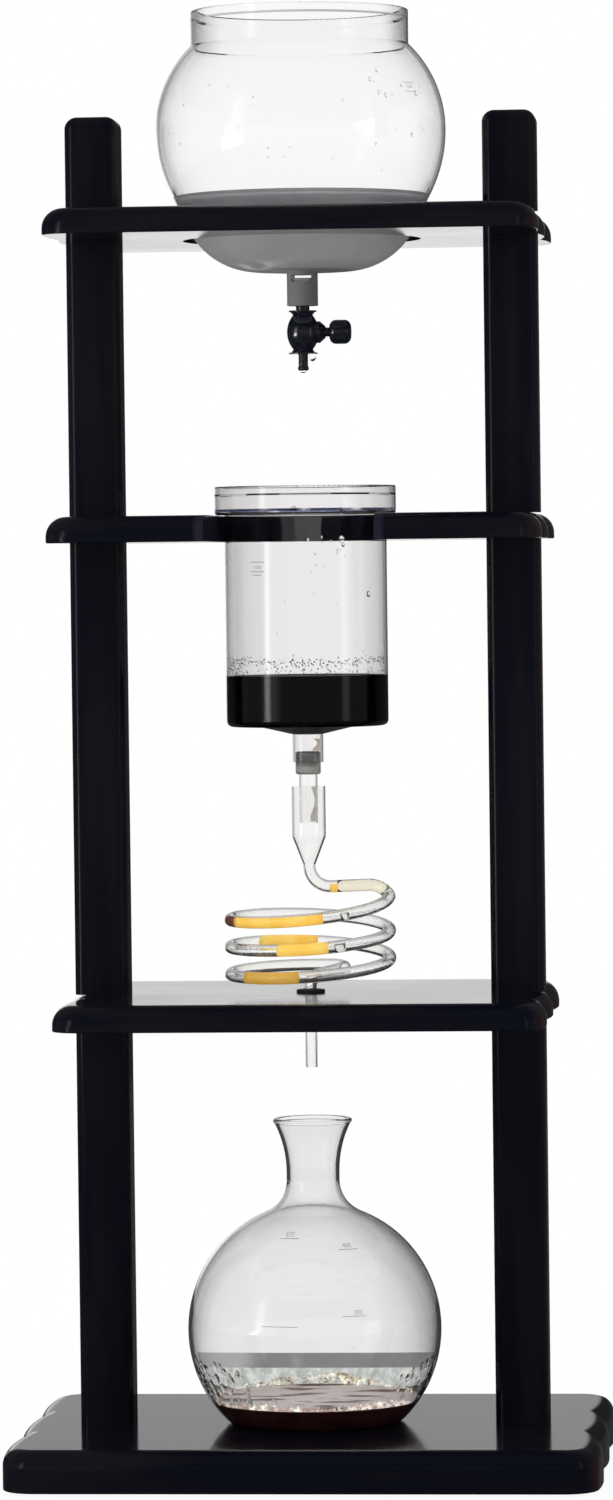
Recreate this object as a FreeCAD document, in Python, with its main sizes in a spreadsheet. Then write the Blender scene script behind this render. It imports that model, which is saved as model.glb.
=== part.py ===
import FreeCAD, Part

import math
import os

import Sketcher

# Cold drip coffee tower.
# A lacquered timber stand of four boards on two stacked posts holds, from the top down,
# a glass water bowl with a needle valve, a glass coffee chamber, a coiled glass tube
# and a collecting flask.
# Millimetres.  +Z is up, the front of the tower faces -Y, and the origin is on the
# table, under the middle of the base board.

SIZES = [
    # timber stand
    ("foot_radius", 9.0, "rubber foot, half its width"),
    ("foot_thickness", 2.0, "rubber foot, its height"),
    ("foot_inset", 30.0, "foot centre, in from each edge of the base"),
    ("base_width", 385.5, "base board, left to right"),
    ("base_depth", 290.0, "base board, front to back"),
    ("base_thickness", 27.0, "base board"),
    ("base_round", 11.0, "base board, rounding of the top edge"),
    ("base_corner", 22.0, "base board, corner in plan"),
    ("shelf_setback", 33.75, "end of a shelf board, in from the end of the base"),
    ("shelf_depth", 258.0, "shelf boards, front to back"),
    ("shelf_thickness", 17.0, "shelf boards"),
    ("shelf_round", 13.0, "shelf boards, rounding of the top edge"),
    ("shelf_corner", 20.0, "shelf boards, corner in plan"),
    ("lobe_depth", 4.5, "scalloped ends of the boards, depth of a notch"),
    ("notch_round", 8.0, "scalloped ends of the boards, radius in a notch"),
    ("board_arris", 1.0, "small rounding of the lower edges of the boards"),
    ("post_side", 35.0, "square post"),
    ("post_round", 7.0, "post, rounding of its long edges"),
    ("post_inset", 56.0, "post centre, in from the end of the base"),
    ("lower_post_height", 266.0, "base board to lower shelf"),
    ("middle_post_height", 296.0, "lower shelf to middle shelf"),
    ("upper_post_height", 180.0, "middle shelf to top shelf"),
    ("cap_height", 65.0, "post cap above the top shelf"),
    ("cap_round", 8.0, "post cap, rounding of its top"),
    # fasteners inside the stand
    ("stud_radius", 4.0, "threaded stud that joins two posts through a shelf"),
    ("stud_grip", 16.0, "stud, depth inside each post"),
    ("stud_fit", 0.1, "radial clearance round a stud or a screw"),
    ("stud_end_gap", 1.0, "space left at the end of a stud's bore"),
    ("screw_radius", 2.5, "base screw, shank"),
    ("screw_head_radius", 5.0, "base screw, head"),
    ("screw_head_height", 3.5, "base screw, head"),
    ("screw_head_bevel", 1.5, "base screw, bevel of the head"),
    ("screw_recess", 7.0, "counterbore under the base board"),
    ("screw_recess_radius", 6.5, "counterbore under the base board"),
    ("screw_grip", 24.0, "base screw, depth inside the post"),
    ("screw_point", 3.0, "base screw, tapered end"),
    # water bowl
    ("bowl_belly_radius", 95.0, "water bowl, outside, widest"),
    ("bowl_belly_height", 91.5, "widest place above the flat bottom"),
    ("bowl_upper_curve", 78.0, "radius of the shoulder, in section"),
    ("bowl_lower_curve", 90.0, "radius of the belly below its widest place"),
    ("bowl_bottom_curve", 50.0, "radius that turns the wall into the bottom"),
    ("bowl_wall_slope", 0.496, "straight part of the wall, run over rise"),
    ("bowl_collar_radius", 71.2, "upright collar round the mouth"),
    ("bowl_collar_height", 22.5, "upright collar round the mouth"),
    ("bowl_lip", 4.2, "thickened lip, wall thickness"),
    ("bowl_lip_height", 5.0, "thickened lip"),
    ("bowl_glass", 2.6, "water bowl, wall"),
    ("bowl_stem_radius", 10.1, "outlet stem under the bowl"),
    ("bowl_stem_length", 22.5, "outlet stem under the bowl"),
    ("bowl_stem_bore", 7.6, "outlet stem, bore radius"),
    ("bowl_sink", 37.5, "bottom of the bowl below the top face of its shelf"),
    ("bowl_edge_round", 3.0, "rounding of the edge that the bowl sits on"),
    ("glass_gap", 0.3, "space between glass and what it sits in"),
    # drip valve
    ("valve_drop", 39.9, "valve centre below the bottom of the bowl"),
    ("belly_radius", 10.5, "valve body, widest"),
    ("belly_curve", 17.3, "valve body, radius of its belly in section"),
    ("neck_radius", 6.5, "valve body, waist above and below the belly"),
    ("inlet_radius", 4.45, "valve body, inlet tube"),
    ("inlet_top", 34.4, "top of the inlet tube above the valve centre"),
    ("upper_disc_radius", 9.1, "thin disc above the belly"),
    ("upper_disc_height", 14.2, "top of that disc above the valve centre"),
    ("lower_disc_radius", 9.5, "thin disc below the belly"),
    ("lower_disc_depth", 14.2, "underside of that disc below the valve centre"),
    ("disc_edge", 0.8, "edge thickness of both discs"),
    ("disc_sweep", 3.2, "radius between a disc and its waist"),
    ("water_bore", 1.6, "vertical water passage, radius"),
    ("boss_radius", 7.1, "side boss of the valve, and its bonnet"),
    ("boss_reach", 10.8, "end of the side boss from the valve centre"),
    ("packing_bore", 5.0, "bore for the packing, radius"),
    ("packing_depth", 5.0, "bore for the packing, depth"),
    ("bonnet_length", 4.0, "packing bonnet outside the boss"),
    ("bonnet_cone", 3.6, "tapered part of the bonnet"),
    ("bonnet_tail", 1.3, "bonnet inside the packing bore"),
    ("bonnet_face", 0.7, "flat ring round the spindle at the bonnet's end"),
    ("spindle_radius", 3.0, "valve spindle"),
    ("needle_radius", 1.9, "needle end of the spindle"),
    ("needle_fit", 0.1, "radial clearance round the spindle and its needle"),
    ("needle_reach", 2.6, "tip of the needle beyond the valve centre"),
    ("needle_bevel", 0.8, "needle, bevel of its tip"),
    ("needle_end_gap", 0.4, "space beyond the tip of the needle"),
    ("shoulder_gap", 0.3, "space between the spindle's shoulder and the packing bore"),
    ("ring_gap", 0.4, "space between the spindle's shoulder and its sealing ring"),
    ("ring_section", 0.85, "sealing ring of the spindle, half its thickness"),
    ("knob_start", 17.4, "near face of the knob from the valve centre"),
    ("knob_length", 14.2, "valve knob"),
    ("knob_radius", 7.9, "valve knob"),
    ("knob_round", 4.4, "valve knob, rounding at both ends"),
    ("knob_socket", 9.0, "spindle inside the knob"),
    ("nozzle_radius", 3.3, "drip nozzle"),
    ("nozzle_bore", 1.6, "drip nozzle, bore radius"),
    ("nozzle_socket", 4.0, "nozzle inside the valve body"),
    ("nozzle_length", 10.9, "nozzle below the valve body"),
    ("nozzle_bead", 0.6, "bead round the end of the nozzle, its height"),
    ("stopper_length", 16.0, "stopper round the inlet tube"),
    ("stopper_inset", 2.0, "stopper above the end of the bowl's stem"),
    ("soft_edge", 1.0, "bevel of the soft stoppers and plugs"),
    ("stopper_fit", 0.05, "radial clearance of the push fits"),
    # coffee chamber
    ("chamber_radius", 53.25, "coffee chamber, outside"),
    ("chamber_glass", 2.6, "coffee chamber, wall"),
    ("rim_radius", 59.6, "wide rim that hangs on the shelf"),
    ("rim_height", 18.7, "wide rim, its height"),
    ("rim_corner", 2.2, "rounding under the rim"),
    ("rim_lip", 3.8, "thickened lip of the rim, wall thickness"),
    ("rim_lip_height", 5.0, "thickened lip of the rim"),
    ("chamber_depth", 134.5, "rim seat down to the bottom corner"),
    ("chamber_corner", 4.0, "rounding of the bottom corner"),
    ("dome_radius", 34.0, "edge of the dome in the middle of the bottom"),
    ("dome_depth", 5.4, "fall of the dome towards the stem"),
    ("chamber_stem_radius", 10.1, "outlet stem of the chamber"),
    ("chamber_stem_bore", 8.3, "outlet stem of the chamber, bore radius"),
    ("chamber_stem_length", 18.3, "outlet stem of the chamber"),
    ("slot_side_gap", 1.25, "space beside the chamber in its slot"),
    ("filter_radius", 44.0, "ceramic filter disc"),
    ("filter_thickness", 4.0, "ceramic filter disc"),
    ("filter_seat", 4.0, "width of the seal ring under the disc"),
    ("filter_seal", 2.0, "thickness of the seal ring under the disc"),
    ("plug_above", 7.0, "rubber plug inside the chamber stem"),
    ("plug_below", 8.0, "rubber plug below the chamber stem"),
    ("drip_tube_radius", 6.1, "drip tube"),
    ("drip_tube_wall", 1.2, "drip tube, wall"),
    ("drip_clearance", 8.8, "lower end of the drip tube above the funnel's taper"),
    # coiled tube
    ("coil_radius", 52.4, "coil, axis to the middle of the tube"),
    ("coil_lead_in", 5.0, "extra fall of the first half turn"),
    ("coil_lean", 0.078, "rise of the turns towards the back, for each unit of depth"),
    ("coil_turns", 2.5, "turns, counted from the right-hand side"),
    ("coil_low", 12.6, "lowest turn, tube centre above the shelf"),
    ("tube_radius", 4.0, "coiled tube"),
    ("tube_wall", 1.2, "coiled tube, wall"),
    ("funnel_bend", 14.0, "bend under the funnel"),
    ("entry_bend", 11.0, "bend from the lead-in onto the first turn"),
    ("entry_fall", 6.4, "fall of the tube in that bend"),
    ("outlet_bend", 9.0, "bend above the outlet"),
    ("return_bend", 11.0, "bend where the last turn comes back to the axis"),
    ("return_reach", 8.0, "straight part before that bend"),
    ("outlet_below", 32.4, "outlet below the lower shelf"),
    ("funnel_radius", 11.1, "receiving funnel"),
    ("funnel_foot", 83.8, "lower end of the funnel above the lower shelf"),
    ("funnel_gap", 15.8, "space between the funnel and the stem of the chamber"),
    ("funnel_taper", 18.5, "receiving funnel, tapered part"),
    ("funnel_stem", 1.0, "straight tube between the funnel and the first bend"),
    ("grommet_hole", 7.6, "hole for the grommet, radius"),
    ("grommet_flange", 9.4, "rubber grommet, flange radius"),
    ("grommet_flange_height", 1.8, "rubber grommet, flange"),
    ("grommet_round", 0.8, "rubber grommet, rounding of the flange"),
    # collecting flask
    ("flask_radius", 83.3, "globe, outside"),
    ("flask_centre", 61.5, "centre of the globe above its flat bottom"),
    ("flask_corner", 9.0, "rounding of the bottom edge"),
    ("flask_glass", 2.2, "flask, wall"),
    ("flask_waist_radius", 17.4, "narrowest part of the neck"),
    ("flask_waist_low", 159.0, "lower end of the waist above the bottom"),
    ("flask_waist_high", 165.0, "upper end of the waist above the bottom"),
    ("flask_height", 200.0, "flask"),
    ("flask_mouth_radius", 25.0, "mouth of the flask, outside"),
    ("flask_lip", 3.0, "rolled lip, its height"),
]

doc = FreeCAD.newDocument("DripTower")
sheet = doc.addObject("Spreadsheet::Sheet", "Sizes")
PLAIN = {}


class Size:
    """A number together with the spreadsheet expression that gives it."""

    def __init__(self, value, text):
        self.value = float(value)
        self.text = text

    def __add__(self, other):
        other = as_size(other)
        return Size(self.value + other.value, "(%s + %s)" % (self.text, other.text))

    def __sub__(self, other):
        other = as_size(other)
        return Size(self.value - other.value, "(%s - %s)" % (self.text, other.text))

    def __mul__(self, other):
        other = as_size(other)
        return Size(self.value * other.value, "(%s * %s)" % (self.text, other.text))

    def __truediv__(self, other):
        other = as_size(other)
        return Size(self.value / other.value, "(%s / %s)" % (self.text, other.text))

    def __radd__(self, other):
        return as_size(other) + self

    def __rsub__(self, other):
        return as_size(other) - self

    def __rmul__(self, other):
        return as_size(other) * self

    def __rtruediv__(self, other):
        return as_size(other) / self

    def __neg__(self):
        return Size(-self.value, "(-1 * %s)" % self.text)


def as_size(number):
    """A plain number as a Size; a Size stays as it is."""
    if isinstance(number, Size):
        return number
    return Size(number, "(%.6f)" % number)


def root(size):
    """Square root of a Size."""
    return Size(math.sqrt(size.value), "sqrt(%s)" % size.text)


def fill_sheet():
    """Write the driving sizes into the spreadsheet, one row each."""
    for row, (name, value, note) in enumerate(SIZES, start=1):
        sheet.set("A%d" % row, name)
        sheet.set("B%d" % row, str(value))
        sheet.setAlias("B%d" % row, name)
        sheet.set("C%d" % row, note)
        PLAIN[name] = value
    doc.recompute()


def s(name):
    """The spreadsheet size of that name."""
    return Size(PLAIN[name], "Sizes.%s" % name)


def bind(thing, path, size):
    """Drive one property of an object from the spreadsheet."""
    thing.setExpression(path, as_size(size).text)


def new_body(label):
    """An empty body with its own label."""
    body = doc.addObject("PartDesign::Body", label)
    body.Label = label
    return body


def origin_feature(body, role):
    """One of the body's own origin planes or axes."""
    return [each for each in body.Origin.OriginFeatures if each.Role == role][0]


def place(thing, x=0.0, y=0.0, z=0.0):
    """Move a finished sub-part to its place in the tower."""
    for axis, size in (("x", x), ("y", y), ("z", z)):
        if isinstance(size, Size) or size:
            bind(thing, ".Placement.Base.%s" % axis, size)


def new_sketch(body, role, name):
    """A sketch on one of the body's origin planes."""
    sketch = body.newObject("Sketcher::SketchObject", name)
    sketch.AttachmentSupport = [(origin_feature(body, role), "")]
    sketch.MapMode = "FlatFace"
    return sketch


def constrain(sketch, kind, places, size):
    """Add one driving constraint and tie it to the spreadsheet."""
    size = as_size(size)
    index = sketch.addConstraint(Sketcher.Constraint(kind, *places, size.value))
    if "Sizes." in size.text:
        bind(sketch, "Constraints[%d]" % index, size)


def pin_point(sketch, geometry, end, x, y):
    """Hold a point of the sketch at x, y."""
    for kind, axis, size in (("DistanceX", -2, x), ("DistanceY", -1, y)):
        if not isinstance(size, Size) and size == 0:
            sketch.addConstraint(Sketcher.Constraint("PointOnObject", geometry, end, axis))
        else:
            constrain(sketch, kind, (-1, 1, geometry, end), size)


def arc_between(start, end, radius, side):
    """Arc from start to end; its centre is left (side 1) or right (side -1) of the way."""
    step = end - start
    across = FreeCAD.Vector(-step.y, step.x, 0).normalize()
    height = math.sqrt(max(radius**2 - (step.Length / 2)**2, 0))
    centre = start + step * 0.5 + across * (side * height)
    first, last = (start, end) if side > 0 else (end, start)
    begin = math.atan2(first.y - centre.y, first.x - centre.x)
    finish = math.atan2(last.y - centre.y, last.x - centre.x)
    if finish <= begin:
        finish += 2 * math.pi
    circle = Part.Circle(centre, FreeCAD.Vector(0, 0, 1), radius)
    return Part.ArcOfCircle(circle, begin, finish)


def outline(body, role, name, corners):
    """Closed outline through the corners.

    A corner is (x, y), or (x, y, radius, side) when an arc leads on from it.
    """
    sketch = new_sketch(body, role, name)
    ends = []
    for here, there in zip(corners, corners[1:] + corners[:1]):
        start = FreeCAD.Vector(as_size(here[0]).value, as_size(here[1]).value, 0)
        end = FreeCAD.Vector(as_size(there[0]).value, as_size(there[1]).value, 0)
        if len(here) == 2:
            sketch.addGeometry(Part.LineSegment(start, end), False)
            ends.append((1, 2))
        else:
            sketch.addGeometry(arc_between(start, end, here[2].value, here[3]), False)
            ends.append((1, 2) if here[3] > 0 else (2, 1))
    count = len(corners)
    for index in range(count):
        after = (index + 1) % count
        join = Sketcher.Constraint("Coincident", index, ends[index][1], after, ends[after][0])
        sketch.addConstraint(join)
    for index, corner in enumerate(corners):
        pin_point(sketch, index, ends[index][0], corner[0], corner[1])
        if len(corner) == 4:
            constrain(sketch, "Radius", (index,), corner[2])
    return sketch


def circles(body, role, name, holes):
    """A sketch of circles, each (x, y, radius)."""
    sketch = new_sketch(body, role, name)
    up = FreeCAD.Vector(0, 0, 1)
    for index, (x, y, radius) in enumerate(holes):
        centre = FreeCAD.Vector(as_size(x).value, as_size(y).value, 0)
        sketch.addGeometry(Part.Circle(centre, up, as_size(radius).value), False)
        pin_point(sketch, index, 3, x, y)
        constrain(sketch, "Radius", (index,), radius)
    return sketch


def turned(label, corners, role="XZ_Plane", axis="V_Axis"):
    """A body turned about an axis of its profile sketch."""
    body = new_body(label)
    sketch = outline(body, role, label + "_profile", corners)
    turn = body.newObject("PartDesign::Revolution", label + "_turned")
    turn.Profile = sketch
    turn.ReferenceAxis = (sketch, [axis])
    turn.Angle = 360
    return body


def pad(body, sketch, length, name):
    """Extrude a sketch by length along its normal."""
    feature = body.newObject("PartDesign::Pad", name)
    feature.Profile = sketch
    bind(feature, "Length", length)
    return feature


def cut(body, sketch, depth, name, towards=(0, 0, 1)):
    """Cut a sketch into the body, by depth in the direction towards.

    With no depth the cut goes right through.
    """
    doc.recompute()
    before = body.Shape.Volume
    feature = body.newObject("PartDesign::Pocket", name)
    feature.Profile = sketch
    feature.UseCustomVector = True
    feature.Direction = FreeCAD.Vector(*towards)
    if depth is None:
        feature.Type = "ThroughAll"
        feature.Midplane = True
    else:
        bind(feature, "Length", depth)
    doc.recompute()
    if body.Shape.Volume > before - 1e-3:
        raise RuntimeError("%s removes nothing" % name)
    return feature


def round_edges(body, base, test, radius, name):
    """Fillet the edges of the base feature that pass the test."""
    doc.recompute()
    chosen = ["Edge%d" % (index + 1) for index, edge in enumerate(base.Shape.Edges) if test(edge)]
    feature = body.newObject("PartDesign::Fillet", name)
    feature.Base = (base, chosen)
    bind(feature, "Radius", radius)
    return feature


def level(edge, height):
    """True for an edge that lies flat at that height."""
    box = edge.BoundBox
    return abs(box.ZMin - height) < 1e-4 and abs(box.ZMax - height) < 1e-4


def upright(edge):
    """True for a straight edge that stands along Z."""
    box = edge.BoundBox
    return box.XLength < 1e-4 and box.YLength < 1e-4


def group(label, members):
    """Several separate solids under one label."""
    together = doc.addObject("Part::Compound", label)
    together.Label = label
    together.Links = members
    return together


fill_sheet()

# Heights of the stand, each one built on the one below.
base_floor = s("foot_thickness")
base_top = base_floor + s("base_thickness")
lower_shelf_floor = base_top + s("lower_post_height")
lower_shelf_top = lower_shelf_floor + s("shelf_thickness")
middle_shelf_floor = lower_shelf_top + s("middle_post_height")
middle_shelf_top = middle_shelf_floor + s("shelf_thickness")
top_shelf_floor = middle_shelf_top + s("upper_post_height")
top_shelf_top = top_shelf_floor + s("shelf_thickness")
post_x = s("base_width") / 2 - s("post_inset")

# Heights of the vessels.
bowl_floor = top_shelf_top - s("bowl_sink")
valve_centre = bowl_floor - s("valve_drop")
rim_seat = middle_shelf_top + s("glass_gap")
funnel_foot = lower_shelf_top + s("funnel_foot")
slot_radius = s("chamber_radius") + s("slot_side_gap")


# ---------------------------------------------------------------- timber stand

def board_corners(width, depth, corner):
    """Plan of a board whose two ends are scalloped into three lobes each."""
    half = width / 2
    step = depth / 6
    deep = s("lobe_depth")
    notch = s("notch_round")
    lobe = (step * step + deep * deep) / (2 * deep)
    lobe_x = half - lobe
    notch_reach = root((lobe + notch) * (lobe + notch) - step * step)
    notch_x = lobe_x + lobe * notch_reach / (lobe + notch)
    notch_y = lobe * step / (lobe + notch)
    corner_reach = root((lobe - corner) * (lobe - corner) - (step - corner) * (step - corner))
    corner_x = lobe_x + corner_reach
    meet_x = lobe_x + lobe * corner_reach / (lobe - corner)
    meet_y = 2 * step + lobe * (step - corner) / (lobe - corner)
    right = [
        (corner_x, -depth / 2, corner, 1),
        (meet_x, -meet_y, lobe, 1),
        (notch_x, -2 * step + notch_y, notch, -1),
        (notch_x, -notch_y, lobe, 1),
        (notch_x, notch_y, notch, -1),
        (notch_x, 2 * step - notch_y, lobe, 1),
        (meet_x, meet_y, corner, 1),
        (corner_x, depth / 2),
    ]
    left = [(-x, -as_size(y)) + tuple(rest) for x, y, *rest in right]
    return right + left


def board(label, width, depth, thickness, corner, rounding):
    """A board with scalloped ends, rounded all round its top and eased underneath."""
    body = new_body(label)
    plan = outline(body, "XY_Plane", label + "_plan", board_corners(width, depth, corner))
    slab = pad(body, plan, thickness, label + "_slab")
    top = thickness.value
    eased = round_edges(body, slab, lambda edge: level(edge, top), rounding, label + "_top")
    round_edges(body, eased, lambda edge: level(edge, 0), s("board_arris"), label + "_arris")
    return body


def shelf(label, floor):
    """A shelf board with the two holes for its studs."""
    width = s("base_width") - 2 * s("shelf_setback")
    body = board(label, width, s("shelf_depth"), s("shelf_thickness"),
                 s("shelf_corner"), s("shelf_round"))
    hole = s("stud_radius") + s("stud_fit")
    studs = circles(body, "XY_Plane", label + "_stud_plan", [(-post_x, 0, hole), (post_x, 0, hole)])
    cut(body, studs, None, label + "_stud_holes")
    place(body, z=floor)
    return body


def base_board():
    """The thick base, with counterbored holes underneath for the post screws."""
    body = board("base_board", s("base_width"), s("base_depth"), s("base_thickness"),
                 s("base_corner"), s("base_round"))
    shank = s("screw_radius") + s("stud_fit")
    recess = s("screw_recess_radius")
    shanks = circles(body, "XY_Plane", "shank_plan", [(-post_x, 0, shank), (post_x, 0, shank)])
    cut(body, shanks, None, "shank_holes")
    heads = circles(body, "XY_Plane", "recess_plan", [(-post_x, 0, recess), (post_x, 0, recess)])
    cut(body, heads, s("screw_recess"), "screw_recesses")
    place(body, z=base_floor)
    return body


def rubber_feet():
    """Four flat rubber feet under the base board."""
    feet = []
    chamfer = s("foot_thickness") / 4
    corners = [
        (0, 0),
        (s("foot_radius") - chamfer, 0),
        (s("foot_radius"), chamfer),
        (s("foot_radius"), s("foot_thickness")),
        (0, s("foot_thickness")),
    ]
    across = s("base_width") / 2 - s("foot_inset")
    along = s("base_depth") / 2 - s("foot_inset")
    for index, (x, y) in enumerate([(-1, -1), (1, -1), (1, 1), (-1, 1)]):
        foot = turned("foot_%d" % index, corners)
        place(foot, x=across * x, y=along * y)
        feet.append(foot)
    return group("rubber_feet", feet)


def post(label, side, floor, height, bottom_bore, top_bore):
    """One straight length of post; a bore is (radius, depth) or None."""
    body = new_body(label)
    half = s("post_side") / 2
    plan = outline(body, "XY_Plane", label + "_plan",
                   [(-half, -half), (half, -half), (half, half), (-half, half)])
    stick = pad(body, plan, height, label + "_stick")
    rounded = round_edges(body, stick, upright, s("post_round"), label + "_edges")
    if top_bore is None:
        top = height.value
        round_edges(body, rounded, lambda edge: level(edge, top), s("cap_round"), label + "_crown")
    else:
        hole = circles(body, "XY_Plane", label + "_top_plan", [(0, 0, top_bore[0])])
        bind(hole, ".AttachmentOffset.Base.z", height)
        cut(body, hole, top_bore[1], label + "_top_bore", (0, 0, -1))
    hole = circles(body, "XY_Plane", label + "_low_plan", [(0, 0, bottom_bore[0])])
    cut(body, hole, bottom_bore[1], label + "_low_bore")
    place(body, x=post_x * side, z=floor)
    return body


def posts():
    """Both posts, each stacked from three lengths and a cap."""
    stud_bore = (s("stud_radius") + s("stud_fit"), s("stud_grip") + s("stud_end_gap"))
    screw_bore = (s("screw_radius") + s("stud_fit"), s("screw_grip") + s("stud_end_gap"))
    lengths = [
        ("lower_post", base_top, s("lower_post_height"), screw_bore, stud_bore),
        ("middle_post", lower_shelf_top, s("middle_post_height"), stud_bore, stud_bore),
        ("upper_post", middle_shelf_top, s("upper_post_height"), stud_bore, stud_bore),
        ("post_cap", top_shelf_top, s("cap_height"), stud_bore, None),
    ]
    made = []
    for side, hand in ((-1, "left"), (1, "right")):
        for name, floor, height, low, high in lengths:
            made.append(post("%s_%s" % (hand, name), side, floor, height, low, high))
    return made


def shelf_studs(label, shelf_floor):
    """The two studs that join the posts through one shelf."""
    radius = s("stud_radius")
    length = s("shelf_thickness") + 2 * s("stud_grip")
    chamfer = radius / 4
    corners = [
        (0, 0),
        (radius - chamfer, 0),
        (radius, chamfer),
        (radius, length - chamfer),
        (radius - chamfer, length),
        (0, length),
    ]
    studs = []
    for side, hand in ((-1, "left"), (1, "right")):
        stud = turned("%s_%s" % (label, hand), corners)
        place(stud, x=post_x * side, z=shelf_floor - s("stud_grip"))
        studs.append(stud)
    return group(label, studs)


def base_screws():
    """The two screws that hold the posts on the base board."""
    head = s("screw_head_height")
    shank = s("screw_radius")
    length = head + s("base_thickness") - s("screw_recess") + s("screw_grip")
    bevel = s("screw_head_bevel")
    corners = [
        (0, 0),
        (s("screw_head_radius") - bevel, 0),
        (s("screw_head_radius"), bevel),
        (s("screw_head_radius"), head),
        (shank, head),
        (shank, length - s("screw_point")),
        (shank / 3, length),
        (0, length),
    ]
    screws = []
    for side, hand in ((-1, "left"), (1, "right")):
        screw = turned("base_screw_%s" % hand, corners)
        place(screw, x=post_x * side, z=base_floor + s("screw_recess") - head)
        screws.append(screw)
    return group("base_screws", screws)


def lower_shelf():
    """The shelf under the coil, with the hole for its grommet."""
    body = shelf("lower_shelf", lower_shelf_floor)
    hole = circles(body, "XY_Plane", "grommet_plan", [(0, 0, s("grommet_hole"))])
    cut(body, hole, None, "grommet_opening")
    return body


def middle_shelf():
    """The shelf that carries the coffee chamber in a slot open to the front."""
    body = shelf("middle_shelf", middle_shelf_floor)
    well = circles(body, "XY_Plane", "slot_end_plan", [(0, 0, slot_radius)])
    cut(body, well, None, "slot_end")
    front = -(s("shelf_depth") / 2 + s("shelf_round"))
    mouth = outline(body, "XY_Plane", "slot_plan",
                    [(-slot_radius, front), (slot_radius, front), (slot_radius, 0), (-slot_radius, 0)])
    cut(body, mouth, None, "slot_mouth")
    return body


def wall_cosine():
    """Cosine of the lean of the bowl's straight wall."""
    slope = s("bowl_wall_slope")
    return 1 / root(1 + slope * slope)


def bowl_radius_at(height):
    """Outside radius of the bowl's straight wall, at a height above its bottom."""
    slope = s("bowl_wall_slope")
    cosine = wall_cosine()
    wall_top_radius = s("bowl_belly_radius") - s("bowl_lower_curve") * (1 - cosine)
    wall_top = s("bowl_belly_height") - s("bowl_lower_curve") * slope * cosine
    return wall_top_radius - (wall_top - height) * slope


def top_shelf():
    """The shelf whose round hole carries the bowl on a rounded edge."""
    body = shelf("top_shelf", top_shelf_floor)
    ease = s("bowl_edge_round")
    seat = bowl_radius_at(s("bowl_sink") - ease)
    radius = seat + (ease + s("glass_gap")) / wall_cosine() - ease
    hole = circles(body, "XY_Plane", "bowl_hole_plan", [(0, 0, radius)])
    opening = cut(body, hole, None, "bowl_hole")
    top = s("shelf_thickness").value

    def rim(edge):
        return level(edge, top) and abs(edge.BoundBox.XMax - radius.value) < 1e-3

    round_edges(body, opening, rim, ease, "bowl_hole_edge")
    return body


# ------------------------------------------------------------------ water bowl

def bowl_chain(inset):
    """Half section of the bowl's wall from the stem to the collar, moved in by inset."""
    slope = s("bowl_wall_slope")
    cosine = wall_cosine()
    sine = slope * cosine
    belly = s("bowl_belly_radius")
    belly_z = s("bowl_belly_height")
    lower = s("bowl_lower_curve")
    upper = s("bowl_upper_curve")
    bottom = s("bowl_bottom_curve")
    wall_low = bottom * (1 - sine)
    flat = bowl_radius_at(wall_low) - bottom * cosine
    collar = s("bowl_collar_radius") - inset
    shoulder_x = belly - upper
    rise = root((upper - inset) * (upper - inset) - (collar - shoulder_x) * (collar - shoulder_x))
    return [
        (flat, as_size(inset), bottom - inset, 1),
        (flat + (bottom - inset) * cosine, bottom - (bottom - inset) * sine),
        (belly - lower + (lower - inset) * cosine, belly_z - (lower - inset) * sine, lower - inset, 1),
        (belly - inset, belly_z, upper - inset, 1),
        (collar, belly_z + rise),
    ]


def reverse_chain(chain):
    """The same half section walked the other way."""
    turned_round = []
    for index in range(len(chain) - 1, -1, -1):
        point = tuple(chain[index][:2])
        before = chain[index - 1] if index > 0 else ()
        if len(before) == 4:
            point += (before[2], -before[3])
        turned_round.append(point)
    return turned_round


def water_bowl():
    """The glass bowl: collar, shoulder, belly, flat bottom and outlet stem."""
    glass = s("bowl_glass")
    collar = s("bowl_collar_radius")
    outer = bowl_chain(0.0)
    inner = bowl_chain(glass)
    top = outer[-1][1] + s("bowl_collar_height")
    lip_under = top - s("bowl_lip_height")
    stem = s("bowl_stem_radius")
    bore = s("bowl_stem_bore")
    soft = s("bowl_lip") / 4
    corners = [
        (bore, -s("bowl_stem_length")),
        (stem, -s("bowl_stem_length")),
        (stem, 0),
    ]
    corners += outer
    corners += [
        (collar, top - soft, soft, 1),
        (collar - soft, top),
        (collar - s("bowl_lip"), top),
        (collar - s("bowl_lip"), lip_under),
        (collar - glass, lip_under - (s("bowl_lip") - glass)),
    ]
    corners += reverse_chain(inner)
    corners += [(bore, glass)]
    body = turned("water_bowl", corners)
    place(body, z=bowl_floor)
    return body


def bowl_stopper():
    """The soft stopper that holds the valve's inlet tube in the bowl's stem."""
    outer = s("bowl_stem_bore") - s("stopper_fit")
    inner = s("inlet_radius") + s("stopper_fit")
    low = s("stopper_inset") - s("bowl_stem_length")
    high = low + s("stopper_length")
    soft = s("soft_edge")
    corners = [
        (inner, low),
        (outer, low),
        (outer, high - soft),
        (outer - soft, high),
        (inner, high),
    ]
    body = turned("bowl_stopper", corners)
    place(body, z=bowl_floor)
    return body


# ------------------------------------------------------------------ drip valve

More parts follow.
